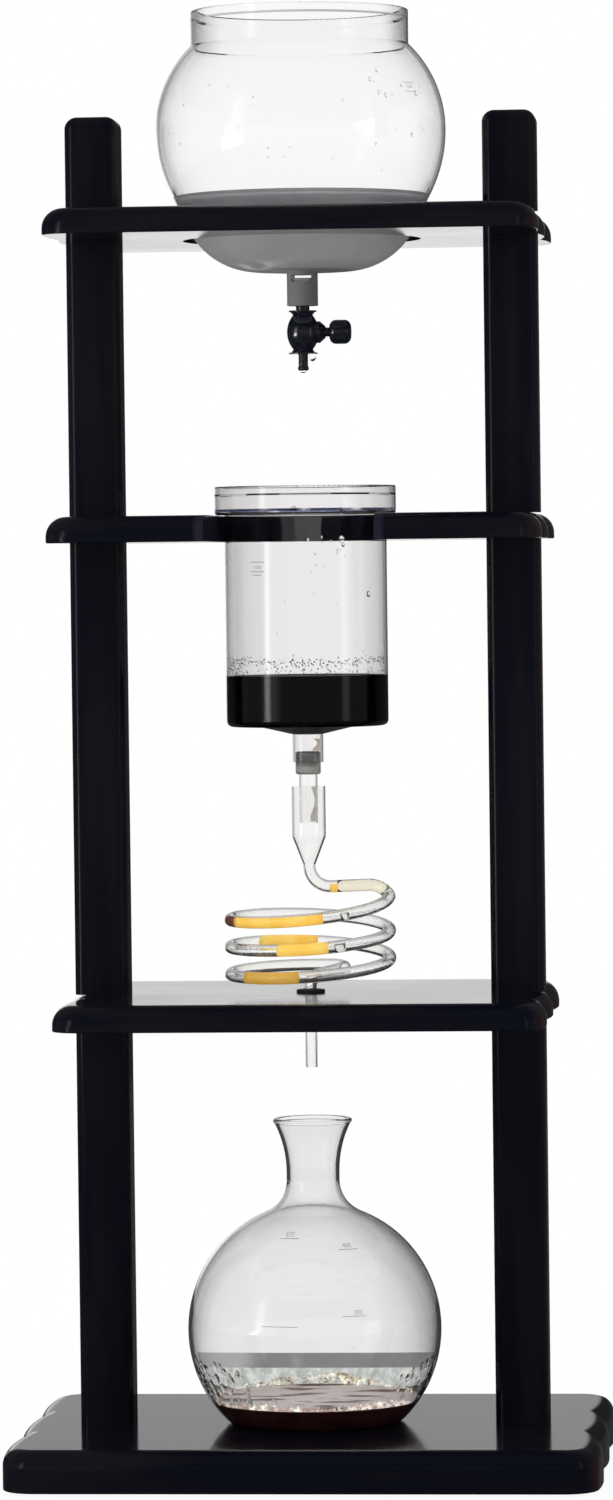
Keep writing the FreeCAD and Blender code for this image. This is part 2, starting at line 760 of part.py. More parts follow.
def valve_body():
    """Round-bellied valve body with an inlet tube, two thin discs and a side boss."""
    curve = s("belly_curve")
    neck = s("neck_radius")
    across = curve - (s("belly_radius") - neck)
    neck_z = root(curve * curve - across * across)
    bore = s("water_bore")
    socket = s("nozzle_radius") + s("stopper_fit")
    low = -s("lower_disc_depth")
    high = s("upper_disc_height")
    edge = s("disc_edge")
    corners = [
        (socket, low),
        (s("lower_disc_radius"), low),
        (s("lower_disc_radius"), low + edge, s("disc_sweep"), -1),
        (neck, -neck_z, curve, 1),
        (neck, neck_z, s("disc_sweep"), -1),
        (s("upper_disc_radius"), high - edge),
        (s("upper_disc_radius"), high),
        (s("inlet_radius"), high),
        (s("inlet_radius"), s("inlet_top")),
        (bore, s("inlet_top")),
        (bore, low + s("nozzle_socket")),
        (socket, low + s("nozzle_socket")),
    ]
    body = turned("valve_body", corners)
    boss = circles(body, "YZ_Plane", "boss_plan", [(0, 0, s("boss_radius"))])
    bind(boss, ".AttachmentOffset.Base.z", neck / 2)
    pad(body, boss, s("boss_reach") - neck / 2, "side_boss")
    packing = circles(body, "YZ_Plane", "packing_plan", [(0, 0, s("packing_bore"))])
    bind(packing, ".AttachmentOffset.Base.z", s("boss_reach"))
    cut(body, packing, s("packing_depth"), "packing_bore", (-1, 0, 0))
    seat = circles(body, "YZ_Plane", "needle_plan", [(0, 0, s("needle_radius") + s("needle_fit"))])
    bind(seat, ".AttachmentOffset.Base.z", s("boss_reach"))
    depth = s("boss_reach") + s("needle_reach") + s("needle_end_gap")
    cut(body, seat, depth, "needle_bore", (-1, 0, 0))
    place(body, z=valve_centre)
    return body


def spindle_shoulder():
    """Where the needle widens into the spindle, from the valve centre."""
    return s("boss_reach") - s("packing_depth") + s("shoulder_gap")


def valve_spindle():
    """The spindle: a needle across the water passage, and a stem into the knob."""
    needle = s("needle_radius")
    stem = s("spindle_radius")
    tip = -s("needle_reach")
    end = s("knob_start") + s("knob_socket")
    corners = [
        (tip, 0),
        (end, 0),
        (end, stem),
        (spindle_shoulder(), stem),
        (spindle_shoulder(), needle),
        (tip + s("needle_bevel"), needle),
        (tip, needle - s("needle_bevel")),
    ]
    body = turned("valve_spindle", corners, axis="H_Axis")
    place(body, z=valve_centre)
    return body


def spindle_ring():
    """The sealing ring round the spindle, in the packing bore."""
    section = s("ring_section")
    body = new_body("spindle_ring")
    middle = (s("spindle_radius") + s("packing_bore")) / 2
    along = spindle_shoulder() + s("ring_gap") + section
    sketch = circles(body, "XZ_Plane", "ring_section_plan", [(along, middle, section)])
    turn = body.newObject("PartDesign::Revolution", "ring_turned")
    turn.Profile = sketch
    turn.ReferenceAxis = (sketch, ["H_Axis"])
    turn.Angle = 360
    place(body, z=valve_centre)
    return body


def valve_bonnet():
    """The tapered bonnet that closes the packing bore round the spindle."""
    bore = s("spindle_radius") + s("needle_fit")
    tail = s("packing_bore") - s("stopper_fit")
    start = s("boss_reach")
    corners = [
        (start - s("bonnet_tail"), bore),
        (start + s("bonnet_length"), bore),
        (start + s("bonnet_length"), bore + s("bonnet_face")),
        (start + s("bonnet_length") - s("bonnet_cone"), s("boss_radius")),
        (start, s("boss_radius")),
        (start, tail),
        (start - s("bonnet_tail"), tail),
    ]
    body = turned("valve_bonnet", corners, axis="H_Axis")
    place(body, z=valve_centre)
    return body


def valve_knob():
    """The plain round knob, rounded at both ends, with a socket for the spindle."""
    soft = s("knob_round")
    radius = s("knob_radius")
    start = s("knob_start")
    end = start + s("knob_length")
    socket = s("spindle_radius") + s("stopper_fit")
    corners = [
        (start, socket),
        (start, radius - soft, soft, -1),
        (start + soft, radius),
        (end - soft, radius, soft, -1),
        (end, radius - soft),
        (end, 0),
        (start + s("knob_socket"), 0),
        (start + s("knob_socket"), socket),
    ]
    body = turned("valve_knob", corners, axis="H_Axis")
    place(body, z=valve_centre)
    return body


def drip_nozzle():
    """The nozzle under the valve, with a bead round its end."""
    radius = s("nozzle_radius")
    bead = s("nozzle_bead")
    low = -s("lower_disc_depth")
    tip = low - s("nozzle_length")
    corners = [
        (s("nozzle_bore"), tip),
        (radius - bead, tip),
        (radius + bead / 2, tip + 1.5 * bead),
        (radius + bead / 2, tip + 3.5 * bead),
        (radius - bead / 3, tip + 5 * bead),
        (radius - bead / 3, low - bead),
        (radius, low - bead),
        (radius, low + s("nozzle_socket")),
        (s("nozzle_bore"), low + s("nozzle_socket")),
    ]
    body = turned("drip_nozzle", corners)
    place(body, z=valve_centre)
    return body


# -------------------------------------------------------------- coffee chamber

def chamber_floor():
    """Height of the chamber's inner floor round its dome, from the rim seat."""
    return s("chamber_glass") - s("chamber_depth") - s("chamber_corner")


def chamber_stem_end():
    """Lower end of the chamber's stem, from the rim seat."""
    return chamber_floor() - s("chamber_glass") - s("dome_depth") - s("chamber_stem_length")


def coffee_chamber():
    """The glass chamber: hanging rim, straight wall, flat floor with a dome, and stem."""
    radius = s("chamber_radius")
    glass = s("chamber_glass")
    rim = s("rim_radius")
    soft = s("rim_corner")
    corner = s("chamber_corner")
    low = -s("chamber_depth")
    stem = s("chamber_stem_radius")
    bore = s("chamber_stem_bore")
    dome = s("dome_radius")
    stem_top = chamber_floor() - glass - s("dome_depth")
    lip = s("rim_lip")
    lip_under = s("rim_height") - s("rim_lip_height")
    top_round = lip / 4
    corners = [
        (bore, chamber_stem_end()),
        (stem, chamber_stem_end()),
        (stem, stem_top),
        (dome, low - corner),
        (radius - corner, low - corner, corner, 1),
        (radius, low),
        (radius, 0),
        (rim - soft, 0, soft, 1),
        (rim, soft),
        (rim, s("rim_height") - top_round, top_round, 1),
        (rim - top_round, s("rim_height")),
        (rim - lip, s("rim_height")),
        (rim - lip, lip_under),
        (rim - glass, lip_under - (lip - glass)),
        (rim - glass, glass),
        (radius - glass, glass),
        (radius - glass, low, corner - glass, -1),
        (radius - corner, chamber_floor()),
        (dome, chamber_floor()),
        (bore, stem_top + glass),
    ]
    body = turned("coffee_chamber", corners)
    place(body, z=rim_seat)
    return body


def filter_top():
    """Upper face of the filter disc's seal, from the rim seat."""
    return chamber_floor() + s("glass_gap") + s("filter_seal")


def filter_seal():
    """The soft ring under and round the filter disc."""
    disc = s("filter_radius")
    seat = s("filter_seat")
    low = chamber_floor() + s("glass_gap")
    outer = disc + s("filter_seal")
    corners = [
        (disc - seat, low),
        (outer, low),
        (outer, filter_top() + s("filter_thickness") / 2),
        (disc + s("stopper_fit"), filter_top() + s("filter_thickness") / 2),
        (disc + s("stopper_fit"), filter_top()),
        (disc - seat, filter_top()),
    ]
    body = turned("filter_seal", corners)
    place(body, z=rim_seat)
    return body


def filter_disc():
    """The porous ceramic disc that the ground coffee lies on."""
    disc = s("filter_radius")
    thick = s("filter_thickness")
    chamfer = thick / 5
    corners = [
        (0, 0),
        (disc, 0),
        (disc, thick - chamfer),
        (disc - chamfer, thick),
        (0, thick),
    ]
    body = turned("filter_disc", corners)
    place(body, z=rim_seat + filter_top())
    return body


def stem_plug():
    """The rubber plug that holds the drip tube in the chamber's stem."""
    outer = s("chamber_stem_bore") - s("stopper_fit")
    inner = s("drip_tube_radius") + s("stopper_fit")
    high = s("plug_above")
    low = -s("plug_below")
    soft = s("soft_edge")
    corners = [
        (inner, low),
        (outer - soft, low),
        (outer, low + soft),
        (outer, high - soft),
        (outer - soft, high),
        (inner, high),
    ]
    body = turned("stem_plug", corners)
    place(body, z=rim_seat + chamber_stem_end())
    return body


def drip_tube():
    """The narrow glass tube that leads the coffee into the coil's funnel."""
    outer = s("drip_tube_radius")
    inner = outer - s("drip_tube_wall")
    high = s("plug_above")
    low = funnel_foot + s("funnel_taper") + s("drip_clearance") - rim_seat - chamber_stem_end()
    corners = [(inner, low), (outer, low), (outer, high), (inner, high)]
    body = turned("drip_tube", corners)
    place(body, z=rim_seat + chamber_stem_end())
    return body


# ---------------------------------------------------------------- coiled tube

def coil_pitch():
    """The rise of a turn that fits between the lead-in and the lowest turn."""
    height = PLAIN["funnel_foot"] - PLAIN["funnel_stem"] - PLAIN["funnel_bend"] - PLAIN["coil_low"]
    return (height - PLAIN["entry_fall"] - PLAIN["coil_lead_in"]) / PLAIN["coil_turns"]


def spot(radius, angle, z, x=0.0, y=0.0):
    """A point at a radius and angle round an upright line through x, y."""
    return FreeCAD.Vector(x + radius * math.cos(angle), y + radius * math.sin(angle), z)


def leaned(point):
    """The same point in the coil's own frame, which rises towards the back."""
    return point + FreeCAD.Vector(0, 0, PLAIN["coil_lean"] * point.y)


def arc_chain(point_at, count):
    """Tangent arcs along a smooth curve; point_at(share) gives its points."""
    arcs = []
    for index in range(count):
        ends = [leaned(point_at((index + share) / count)) for share in (0, 0.5, 1)]
        arcs.append(Part.Arc(*ends).toShape())
    return arcs


def corner_arc(corner, before, after, radius):
    """The arc that rounds a corner between the ways from before and on to after."""
    way_in = (corner - before).normalize()
    way_on = (after - corner).normalize()
    half = way_in.getAngle(way_on) / 2
    reach = radius * math.tan(half)
    inward = (way_on - way_in).normalize()
    middle = corner + inward * (radius / math.cos(half) - radius)
    return Part.Arc(corner - way_in * reach, middle, corner + way_on * reach)


def coil_path():
    """Middle line of the coiled tube, from the funnel down to the outlet."""
    radius = PLAIN["coil_radius"]
    turns = PLAIN["coil_turns"]
    extra = PLAIN["coil_lead_in"]
    pitch = coil_pitch()

    def drop(at):
        return pitch * at + extra * (1 - (1 - 2 * min(at, 0.5))**2)

    low = lower_shelf_top.value + PLAIN["coil_low"]
    high = low + drop(turns)
    start = high + PLAIN["entry_fall"]

    # the lead-in runs out from the axis and touches the bend that leads onto the first turn
    entry = PLAIN["entry_bend"]
    side = radius - entry
    heading = math.asin(entry / side)
    entry_length = entry * (math.pi / 2 + heading)
    entry_slope = (pitch + 4 * extra) / (2 * math.pi * radius)

    # the last quarter turn levels out, then a bend turns the tube home to the axis
    last = -2 * math.pi * turns
    ease_drop = pitch / 8
    floor = low - ease_drop
    bend = PLAIN["return_bend"]
    reach = PLAIN["return_reach"]
    span = math.hypot(reach, radius - bend)
    home = math.atan2(radius - bend, reach) - math.asin(bend / span)
    way_out = FreeCAD.Rotation(FreeCAD.Vector(0, 0, 1), math.degrees(last - math.pi))

    def entry_turn(share):
        fall = PLAIN["entry_fall"] * (3 - 2 * share) * share**2
        fall -= entry_slope * entry_length * (1 - share) * share**2
        angle = (math.pi / 2 + heading) * (1 - share)
        return spot(entry, angle, start - fall, side)

    def turn(share):
        at = turns * share
        return spot(radius, -2 * math.pi * at, high - drop(at))

    def ease(share):
        z = low - ease_drop * (1 - (1 - share)**2)
        return spot(radius, last - math.pi / 2 * share, z)

    def return_turn(share):
        angle = math.pi / 2 - (math.pi - home) * share
        return way_out.multVec(spot(bend, angle, floor, reach, radius - bend))

    top = FreeCAD.Vector(0, 0, funnel_foot.value)
    outlet = FreeCAD.Vector(0, 0, lower_shelf_floor.value - PLAIN["outlet_below"])
    first_corner = FreeCAD.Vector(0, 0, start)
    last_corner = FreeCAD.Vector(0, 0, floor)
    run_end = leaned(entry_turn(0))
    home_start = leaned(return_turn(1))
    first_bend = corner_arc(first_corner, top, run_end, PLAIN["funnel_bend"])
    last_bend = corner_arc(last_corner, home_start, outlet, PLAIN["outlet_bend"])
    edges = [Part.makeLine(top, first_bend.StartPoint), first_bend.toShape()]
    edges.append(Part.makeLine(first_bend.EndPoint, run_end))
    edges += arc_chain(entry_turn, 6)
    edges += arc_chain(turn, round(8 * turns))
    edges += arc_chain(ease, 2)
    edges.append(Part.makeLine(leaned(ease(1)), leaned(return_turn(0))))
    edges += arc_chain(return_turn, 2)
    edges.append(Part.makeLine(home_start, last_bend.StartPoint))
    edges.append(last_bend.toShape())
    edges.append(Part.makeLine(last_bend.EndPoint, outlet))
    print("coil: rise of a turn %.2f mm, lead-in %.1f degrees off the side"
          % (pitch, math.degrees(heading)))
    return Part.Wire(edges)


def ring_face(centre, normal, outer, inner):
    """A flat ring."""
    rims = [Part.Wire([Part.makeCircle(radius, centre, normal)]) for radius in (outer, inner)]
    return Part.makeFace(rims, "Part::FaceMakerBullseye")


def coil_tube():
    """The coiled glass tube with its receiving funnel, in one piece of glass."""
    outer = PLAIN["tube_radius"]
    inner = outer - PLAIN["tube_wall"]
    foot = funnel_foot.value
    path = coil_path()
    start = FreeCAD.Vector(0, 0, foot)
    tube = path.makePipe(ring_face(start, FreeCAD.Vector(0, 0, -1), outer, inner))
    wide = PLAIN["funnel_radius"]
    wide_inner = wide - PLAIN["tube_wall"]
    taper = foot + PLAIN["funnel_taper"]
    top = (rim_seat + chamber_stem_end() - s("funnel_gap")).value
    section = [
        (inner, foot), (outer, foot), (wide, taper), (wide, top),
        (wide_inner, top), (wide_inner, taper),
    ]
    corners = [FreeCAD.Vector(x, 0, z) for x, z in section]
    profile = Part.Face(Part.makePolygon(corners + corners[:1]))
    funnel = profile.revolve(FreeCAD.Vector(0, 0, 0), FreeCAD.Vector(0, 0, 1), 360)
    area = math.pi * (outer**2 - inner**2)
    print("coil tube: length %.1f mm, volume %.0f mm3, section times length %.0f mm3"
          % (path.Length, tube.Volume, area * path.Length))
    piece = doc.addObject("Part::Feature", "coil_tube")
    piece.Label = "coil_tube"
    piece.Shape = tube.fuse(funnel)
    return piece


def coil_grommet():
    """The rubber grommet that holds the coil's outlet in the lower shelf."""
    bore = s("tube_radius") + s("glass_gap")
    sleeve = s("grommet_hole") - s("stopper_fit")
    flange = s("grommet_flange")
    soft = s("grommet_round")
    thick = s("shelf_thickness")
    high = thick + s("grommet_flange_height")
    corners = [
        (bore, 0),
        (sleeve, 0),
        (sleeve, thick),
        (flange, thick),
        (flange, high - soft, soft, 1),
        (flange - soft, high),
        (bore, high),
    ]
    body = turned("coil_grommet", corners)
    place(body, z=lower_shelf_floor)
    return body


# ------------------------------------------------------------ collecting flask

def flask_chain(inset):
    """Half section of the flask's wall from the bottom to the lip, moved in by inset."""
    globe = s("flask_radius") - inset
    centre = s("flask_centre")
    corner = s("flask_corner") - inset
    floor = as_size(inset)
    # bottom edge: an arc that touches the flat bottom and the globe
    drop = centre - floor - corner
    flat = root((globe - corner) * (globe - corner) - drop * drop)
    edge_x = flat * globe / (globe - corner)
    edge_z = centre - drop * globe / (globe - corner)
    # shoulder: an arc that touches the globe and the waist
    waist = s("flask_waist_radius") - inset
    lift = s("flask_waist_low") - centre
    sweep = (lift * lift + waist * waist - globe * globe) / (2 * (globe - waist))
    meet_x = (waist + sweep) * globe / (globe + sweep)
    meet_z = centre + lift * globe / (globe + sweep)
    # trumpet of the neck
    mouth = s("flask_mouth_radius") - inset
    rise = s("flask_height") - s("flask_lip") - s("flask_waist_high")
    flare = (rise * rise + (mouth - waist) * (mouth - waist)) / (2 * (mouth - waist))
    return [
        (flat, floor, corner, 1),
        (edge_x, edge_z, globe, 1),
        (s("flask_radius") - inset, centre, globe, 1),
        (meet_x, meet_z, sweep, -1),
        (waist, s("flask_waist_low")),
        (waist, s("flask_waist_high"), flare, -1),
        (mouth, s("flask_height") - s("flask_lip")),
    ]


def flask():
    """The collecting flask: flat-bottomed globe with a flared neck and a rolled lip."""
    glass = s("flask_glass")
    outer = flask_chain(0.0)
    inner = flask_chain(glass)
    mouth = s("flask_mouth_radius")
    lip = s("flask_lip")
    top = s("flask_height")
    corners = [(0, 0)]
    corners += outer[:-1]
    corners += [
        (mouth, top - lip, lip * 0.55, 1),
        (mouth, top),
        (mouth - glass, top),
    ]
    corners += reverse_chain(inner)
    corners += [(0, glass)]
    body = turned("flask", corners)
    place(body, z=base_top)
    return body


# --------------------------------------------------------------- build and save

subparts = [
    rubber_feet(),
    base_board(),
    base_screws(),
    lower_shelf(),
    middle_shelf(),
    top_shelf(),
    shelf_studs("lower_shelf_studs", lower_shelf_floor),
    shelf_studs("middle_shelf_studs", middle_shelf_floor),
    shelf_studs("top_shelf_studs", top_shelf_floor),
    water_bowl(),
    bowl_stopper(),
    valve_body(),
    valve_spindle(),
    spindle_ring(),
    valve_bonnet(),
    valve_knob(),
    drip_nozzle(),
    coffee_chamber(),
    filter_seal(),
    filter_disc(),
    stem_plug(),
    drip_tube(),
    coil_tube(),
    coil_grommet(),
    flask(),
]
subparts += posts()
doc.recompute()

for each in doc.Objects:
    if {"Invalid", "Error"} & set(each.State):
        raise RuntimeError("%s failed: %s" % (each.Label, each.State))
for piece in subparts:
    if piece.Shape.isNull() or not piece.Shape.isValid():
        raise RuntimeError("%s has no valid shape" % piece.Label)

os.makedirs("parts", exist_ok=True)
for piece in subparts:
    piece.Shape.exportStep("parts/%s.step" % piece.Label)
    box = piece.Shape.BoundBox
    print("%-20s %d solid(s) %9.0f mm3  z %7.1f to %7.1f"
          % (piece.Label, len(piece.Shape.Solids), piece.Shape.Volume, box.ZMin, box.ZMax))
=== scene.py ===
# %% [markdown]
# # Cold drip coffee tower
# A black lacquered stand carries five pieces of laboratory glass: a water bowl with a
# needle valve, a coffee chamber, its drip tube, a coiled tube with a funnel, and a flask.
# The construction comes from the frame, at its real size. This script gives every piece
# its finish and adds what the frame leaves out: the water, the coffee, drops and marks.

import math
import random

import bmesh
import bpy
from mathutils import Matrix, Quaternion, Vector
from mathutils.bvhtree import BVHTree


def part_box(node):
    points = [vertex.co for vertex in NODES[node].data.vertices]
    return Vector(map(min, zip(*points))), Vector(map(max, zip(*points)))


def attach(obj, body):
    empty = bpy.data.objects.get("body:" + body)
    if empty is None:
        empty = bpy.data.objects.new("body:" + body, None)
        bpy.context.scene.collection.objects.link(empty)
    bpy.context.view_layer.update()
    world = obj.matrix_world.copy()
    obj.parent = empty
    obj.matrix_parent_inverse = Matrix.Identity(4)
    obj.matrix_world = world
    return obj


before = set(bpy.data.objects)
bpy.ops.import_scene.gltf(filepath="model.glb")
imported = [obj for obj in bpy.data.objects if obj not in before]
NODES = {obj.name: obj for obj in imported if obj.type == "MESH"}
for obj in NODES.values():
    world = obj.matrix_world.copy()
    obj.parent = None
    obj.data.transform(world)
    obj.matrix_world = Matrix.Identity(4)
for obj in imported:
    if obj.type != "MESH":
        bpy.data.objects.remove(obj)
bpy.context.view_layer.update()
MM = 0.001

# %% [markdown]
# A finish is a small network of shader nodes. Written as node calls it is hard to read, so
# one class wraps a socket and lets sums and products be typed as such. Its second job is to
# add any other node: settings first, then the values or links of its sockets.

# %% Shader maths as expressions
class Shade:
    """A socket of a material with arithmetic on it."""

    def __init__(self, tree, socket=None):
        self.tree = tree
        self.socket = socket

    def add(self, kind, values=None, output=0, **settings):
        """A new node: its settings, then the values or links of its inputs."""
        node = self.tree.nodes.new(kind)
        for name, value in settings.items():
            setattr(node, name, value)
        for name, value in (values or {}).items():
            socket = node.inputs[name]
            if isinstance(value, Shade):
                self.tree.links.new(value.socket, socket)
            else:
                socket.default_value = value
        return Shade(self.tree, node.outputs[output] if len(node.outputs) else None)

    def math(self, operation, first, second):
        return self.add("ShaderNodeMath", {0: first, 1: second}, operation=operation)

    def __add__(self, other):
        return self.math("ADD", self, other)

    def __radd__(self, other):
        return self.math("ADD", other, self)

    def __sub__(self, other):
        return self.math("SUBTRACT", self, other)

    def __rsub__(self, other):
        return self.math("SUBTRACT", other, self)

    def __mul__(self, other):
        return self.math("MULTIPLY", self, other)

    def __rmul__(self, other):
        return self.math("MULTIPLY", other, self)

    def absolute(self):
        return self.math("ABSOLUTE", self, 0.0)

    def between(self, low, high):
        """0 below low, 1 above high, smooth in between; low may be the larger."""
        values = {"Value": self, "From Min": low, "From Max": high}
        return self.add("ShaderNodeMapRange", values, interpolation_type="SMOOTHSTEP")

    def band(self, low, high, soft):
        """1 from low to high, fading to 0 over the soft width outside them."""
        return self.between(low - soft, low) * self.between(high + soft, high)

    def blend(self, first, second):
        """Colour that goes from first to second as this value goes from 0 to 1."""
        values = {"Factor": self, 6: first, 7: second}
        return self.add("ShaderNodeMix", values, output=2, data_type="RGBA")


def colour(red, green, blue):
    return (red, green, blue, 1.0)


def finish(name, base, roughness, **constants):
    """A Principled material; base, roughness, bump, glow and cover may be functions of a Shade."""
    material = bpy.data.materials.new(name)
    material.use_nodes = True
    tree = material.node_tree
    tree.nodes.clear()
    pen = Shade(tree)
    values = {
        "Base Color": base(pen) if callable(base) else base,
        "Roughness": roughness(pen) if callable(roughness) else roughness,
    }
    bump = constants.pop("bump", None)
    if bump:
        values["Normal"] = bump(pen)
    for key, socket in (("glow", "Emission Color"), ("cover", "Alpha")):
        function = constants.pop(key, None)
        if function:
            values[socket] = function(pen)
    for key, value in constants.items():
        values[key.replace("_", " ").title().replace("Ior", "IOR")] = value
    surface = pen.add("ShaderNodeBsdfPrincipled", values)
    pen.add("ShaderNodeOutputMaterial", {"Surface": surface})
    return material


def place_on(pen):
    """The place on the piece, in the tower's own metres."""
    return pen.add("ShaderNodeTexCoord", output=3)


def along_axis(pen, axis):
    """One coordinate of the place on the piece: 0 across, 1 to the back, 2 up."""
    return pen.add("ShaderNodeSeparateXYZ", {0: place_on(pen)}, output=axis)


def noise(pen, scale, detail=2.0, stretch=(1.0, 1.0, 1.0)):
    """Noise over the piece; stretch squeezes it along an axis."""
    place = pen.add("ShaderNodeMapping", {"Vector": place_on(pen), "Scale": stretch})
    return pen.add("ShaderNodeTexNoise", {"Vector": place, "Scale": scale, "Detail": detail})


def mottle(pen, scale, detail, window, first, second, stretch=(1.0, 1.0, 1.0)):
    """A colour that wanders from first to second while the noise crosses the window."""
    return noise(pen, scale, detail, stretch).between(*window).blend(first, second)


def dent(pen, height, strength, depth):
    """A bump from a height between 0 and 1, depth in metres."""
    return pen.add("ShaderNodeBump", {"Height": height, "Strength": strength, "Distance": depth})


# %% [markdown]
# ## Black lacquer
# The stand is timber under a thick, glossy black lacquer. Nearly all that is seen of such a
# finish is what it mirrors: at a glancing angle the board tops turn light grey, while faces
# seen head-on stay black. A low specular level keeps the head-on faces dark. The grain
# only telegraphs through as a faint, long unevenness, so it goes into a weak bump, along
# the boards for the shelves and upright for the posts.

# %% Lacquer
BLUE_BLACK = colour(0.0035, 0.0042, 0.0085)
WARM_BLACK = colour(0.009, 0.008, 0.011)
# Painted light: the notch of the middle shelf lies in shade and is painted a lighter navy.
NOTCH_PAINTED_LIGHT = colour(0.017, 0.018, 0.030)
# Painted sheen: the outer faces that look to the right are painted plum.
SIDE_PAINTED_SHEEN = colour(0.015, 0.008, 0.011)
notch_low, notch_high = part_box("middle_shelf")


def lacquer(name, stretch):
    """Black lacquer, with painted light in the notch of the middle shelf and a painted plum sheen on the
    outer right faces.
    """

    def ground(pen):
        black = mottle(pen, 60.0, 4.0, (0.35, 0.8), BLUE_BLACK, WARM_BLACK, stretch)
        # Painted sheen: outer faces that look to the right turn plum.
        facing = pen.add("ShaderNodeTexCoord", output=1)
        right = pen.add("ShaderNodeSeparateXYZ", {0: facing}, output=0).between(0.6, 0.95)
        outer = right * along_axis(pen, 0).between(0.10, 0.14)
        # Painted light: a lighter navy in the notch of the middle shelf, where it lies in shade.
        level = along_axis(pen, 2).band(notch_low.z - 1.0 * MM, notch_high.z + 1.0 * MM, 0.5 * MM)
        notch = along_axis(pen, 0).absolute().between(62 * MM, 58 * MM) * level
        return outer.blend(notch.blend(black, NOTCH_PAINTED_LIGHT), SIDE_PAINTED_SHEEN)

    def gloss(pen):
        return 0.07 + 0.09 * noise(pen, 9.0, 3.0)

    def relief(pen):
        grain = noise(pen, 90.0, 5.0, stretch)
        return dent(pen, grain, 0.12, 0.0004)

    return finish(name, ground, gloss, bump=relief, specular_ior_level=0.16)


board_lacquer = lacquer("board_lacquer", (0.12, 1.0, 1.0))
post_lacquer = lacquer("post_lacquer", (1.0, 1.0, 0.08))

# %% [markdown]
# ## Glass
# Laboratory glass is clear when looked through square-on and dark along its outline, where
# the eye follows the wall and the wall bends the darker room into view. The path through the
# wall is longest there, so a Layer Weight darkens the tint of the glass from a certain slant
# on: partly the glass's own tint, partly painted shade. The right-hand side of each vessel
# faces the darker half of the room, so its painted outline starts earlier and is wider.

# %% Glass
GLASS_IOR = 1.47


def slant(pen):
    """0 where a surface is seen square-on, rising to 1 where it turns away."""
    return pen.add("ShaderNodeLayerWeight", {"Blend": 0.5}, output=1)


def outline(pen, left, right, reach):
    """0 where the wall is seen square-on, 1 at the outline; left and right are where it starts."""
    side = along_axis(pen, 0).between(-reach, reach)
    start = left + (right - left) * side
    return slant(pen).between(start, 1.02)


def glass_polish(pen):
    """Smooth, with faint wiped patches."""
    return 0.02 * noise(pen, 35.0, 3.0).between(0.55, 0.8)


def glass(name, clear, edge, left, right, reach=0.05, shade=None):
    """Clear glass that takes the edge colour at its outline, partly as painted shade; shade adds more
    painted shade and bands on the wall.
    """

    def tint(pen):
        body = outline(pen, left, right, reach).blend(clear, edge)
        return shade(pen, body) if shade else body

    return finish(name, tint, glass_polish, transmission_weight=1.0, ior=GLASS_IOR)


# Heights of the painted reflection of the shelf's dark edge in the chamber's flange.
FLANGE_LINE_LOW = 627.6 * MM
FLANGE_LINE_HIGH = 628.9 * MM


def chamber_shade(pen, body):
    """Painted shade, grey towards both sides, and a painted reflection: the dark line of the shelf's edge
    in the flange.
    """
    # Painted shade: the glass turns greyer towards both sides.
    side = (along_axis(pen, 0) - 0.005).absolute().between(0.020, 0.052)
    body = (side * 0.5).blend(body, colour(0.72, 0.715, 0.715))
    # Painted reflection: the shelf's dark edge seen in the front of the flange, broken up by noise.
    front = along_axis(pen, 1).between(0.0, -0.012)
    line = along_axis(pen, 2).band(FLANGE_LINE_LOW, FLANGE_LINE_HIGH, 0.5 * MM) * front
    broken = noise(pen, 70.0, 3.0).between(0.25, 0.5)
    return (line * broken).blend(body, colour(0.05, 0.055, 0.12))


chamber_glass = glass(
    "chamber_glass",
    clear=colour(0.945, 0.938, 0.937),
    edge=colour(0.40, 0.39, 0.40),
    left=0.86,
    right=0.58,
    shade=chamber_shade,
)
tube_glass = glass(
    "tube_glass",
    clear=colour(0.985, 0.985, 0.98),
    edge=colour(0.09, 0.09, 0.095),
    left=0.70,
    right=0.62,
)

# %% [markdown]
# The flask stands low and has collected coffee for hours: a grey band lies on the rear of its
# wall, with a clearer, greenish strip below it, and painted shade dims its right side. The bowl
# is of thinner, whiter glass, greyer along the thick rim with painted shade at both ends of it,
# and darker round its stem.

# %% Flask and bowl glass
BAND_LOW = 63.9 * MM
BAND_HIGH = 73.8 * MM
STRIP_LOW = 50.0 * MM
STRIP_HIGH = 63.6 * MM
BAND_SOFT = 0.6 * MM
BAND_GREY = colour(0.25, 0.25, 0.255)
STRIP_GREEN = colour(0.50, 0.53, 0.50)
STRIP_CLEAR = colour(0.86, 0.88, 0.85)


def flask_band_and_shade(pen, body):
    """A painted shade that dims the glass at the right, and a grey band and clearer strip on the rear of
    the wall.
    """
    depth = along_axis(pen, 1)
    height = along_axis(pen, 2) + 0.13 * depth
    rear = depth.between(-0.002, 0.006)
    streaks = noise(pen, 60.0, 3.0, (1.0, 1.0, 0.2)).between(0.2, 0.5)
    # Painted shade: the glass dims towards the right and its outline, from about the band upwards.
    to_right = along_axis(pen, 0).between(0.005, 0.06)
    painted_right_shade = slant(pen).between(0.02, 0.6) * to_right * height.between(60.0 * MM, 80.0 * MM)
    body = (painted_right_shade * 0.5).blend(body, colour(0.45, 0.44, 0.445))
    ragged = 0.8 + 0.2 * streaks - 0.3 * along_axis(pen, 0).between(-0.040, -0.060)
    grey_band = height.band(BAND_LOW, BAND_HIGH, BAND_SOFT) * rear * ragged
    clearer = height.band(STRIP_LOW, STRIP_HIGH, BAND_SOFT) * rear
    strip = mottle(pen, 160.0, 4.0, (0.35, 0.7), STRIP_GREEN, STRIP_CLEAR)
    return clearer.blend(grey_band.blend(body, BAND_GREY), strip)


flask_glass = glass(
    "flask_glass",
    clear=colour(0.945, 0.942, 0.945),
    edge=colour(0.34, 0.34, 0.345),
    left=0.80,
    right=0.46,
    reach=0.08,
    shade=flask_band_and_shade,
)

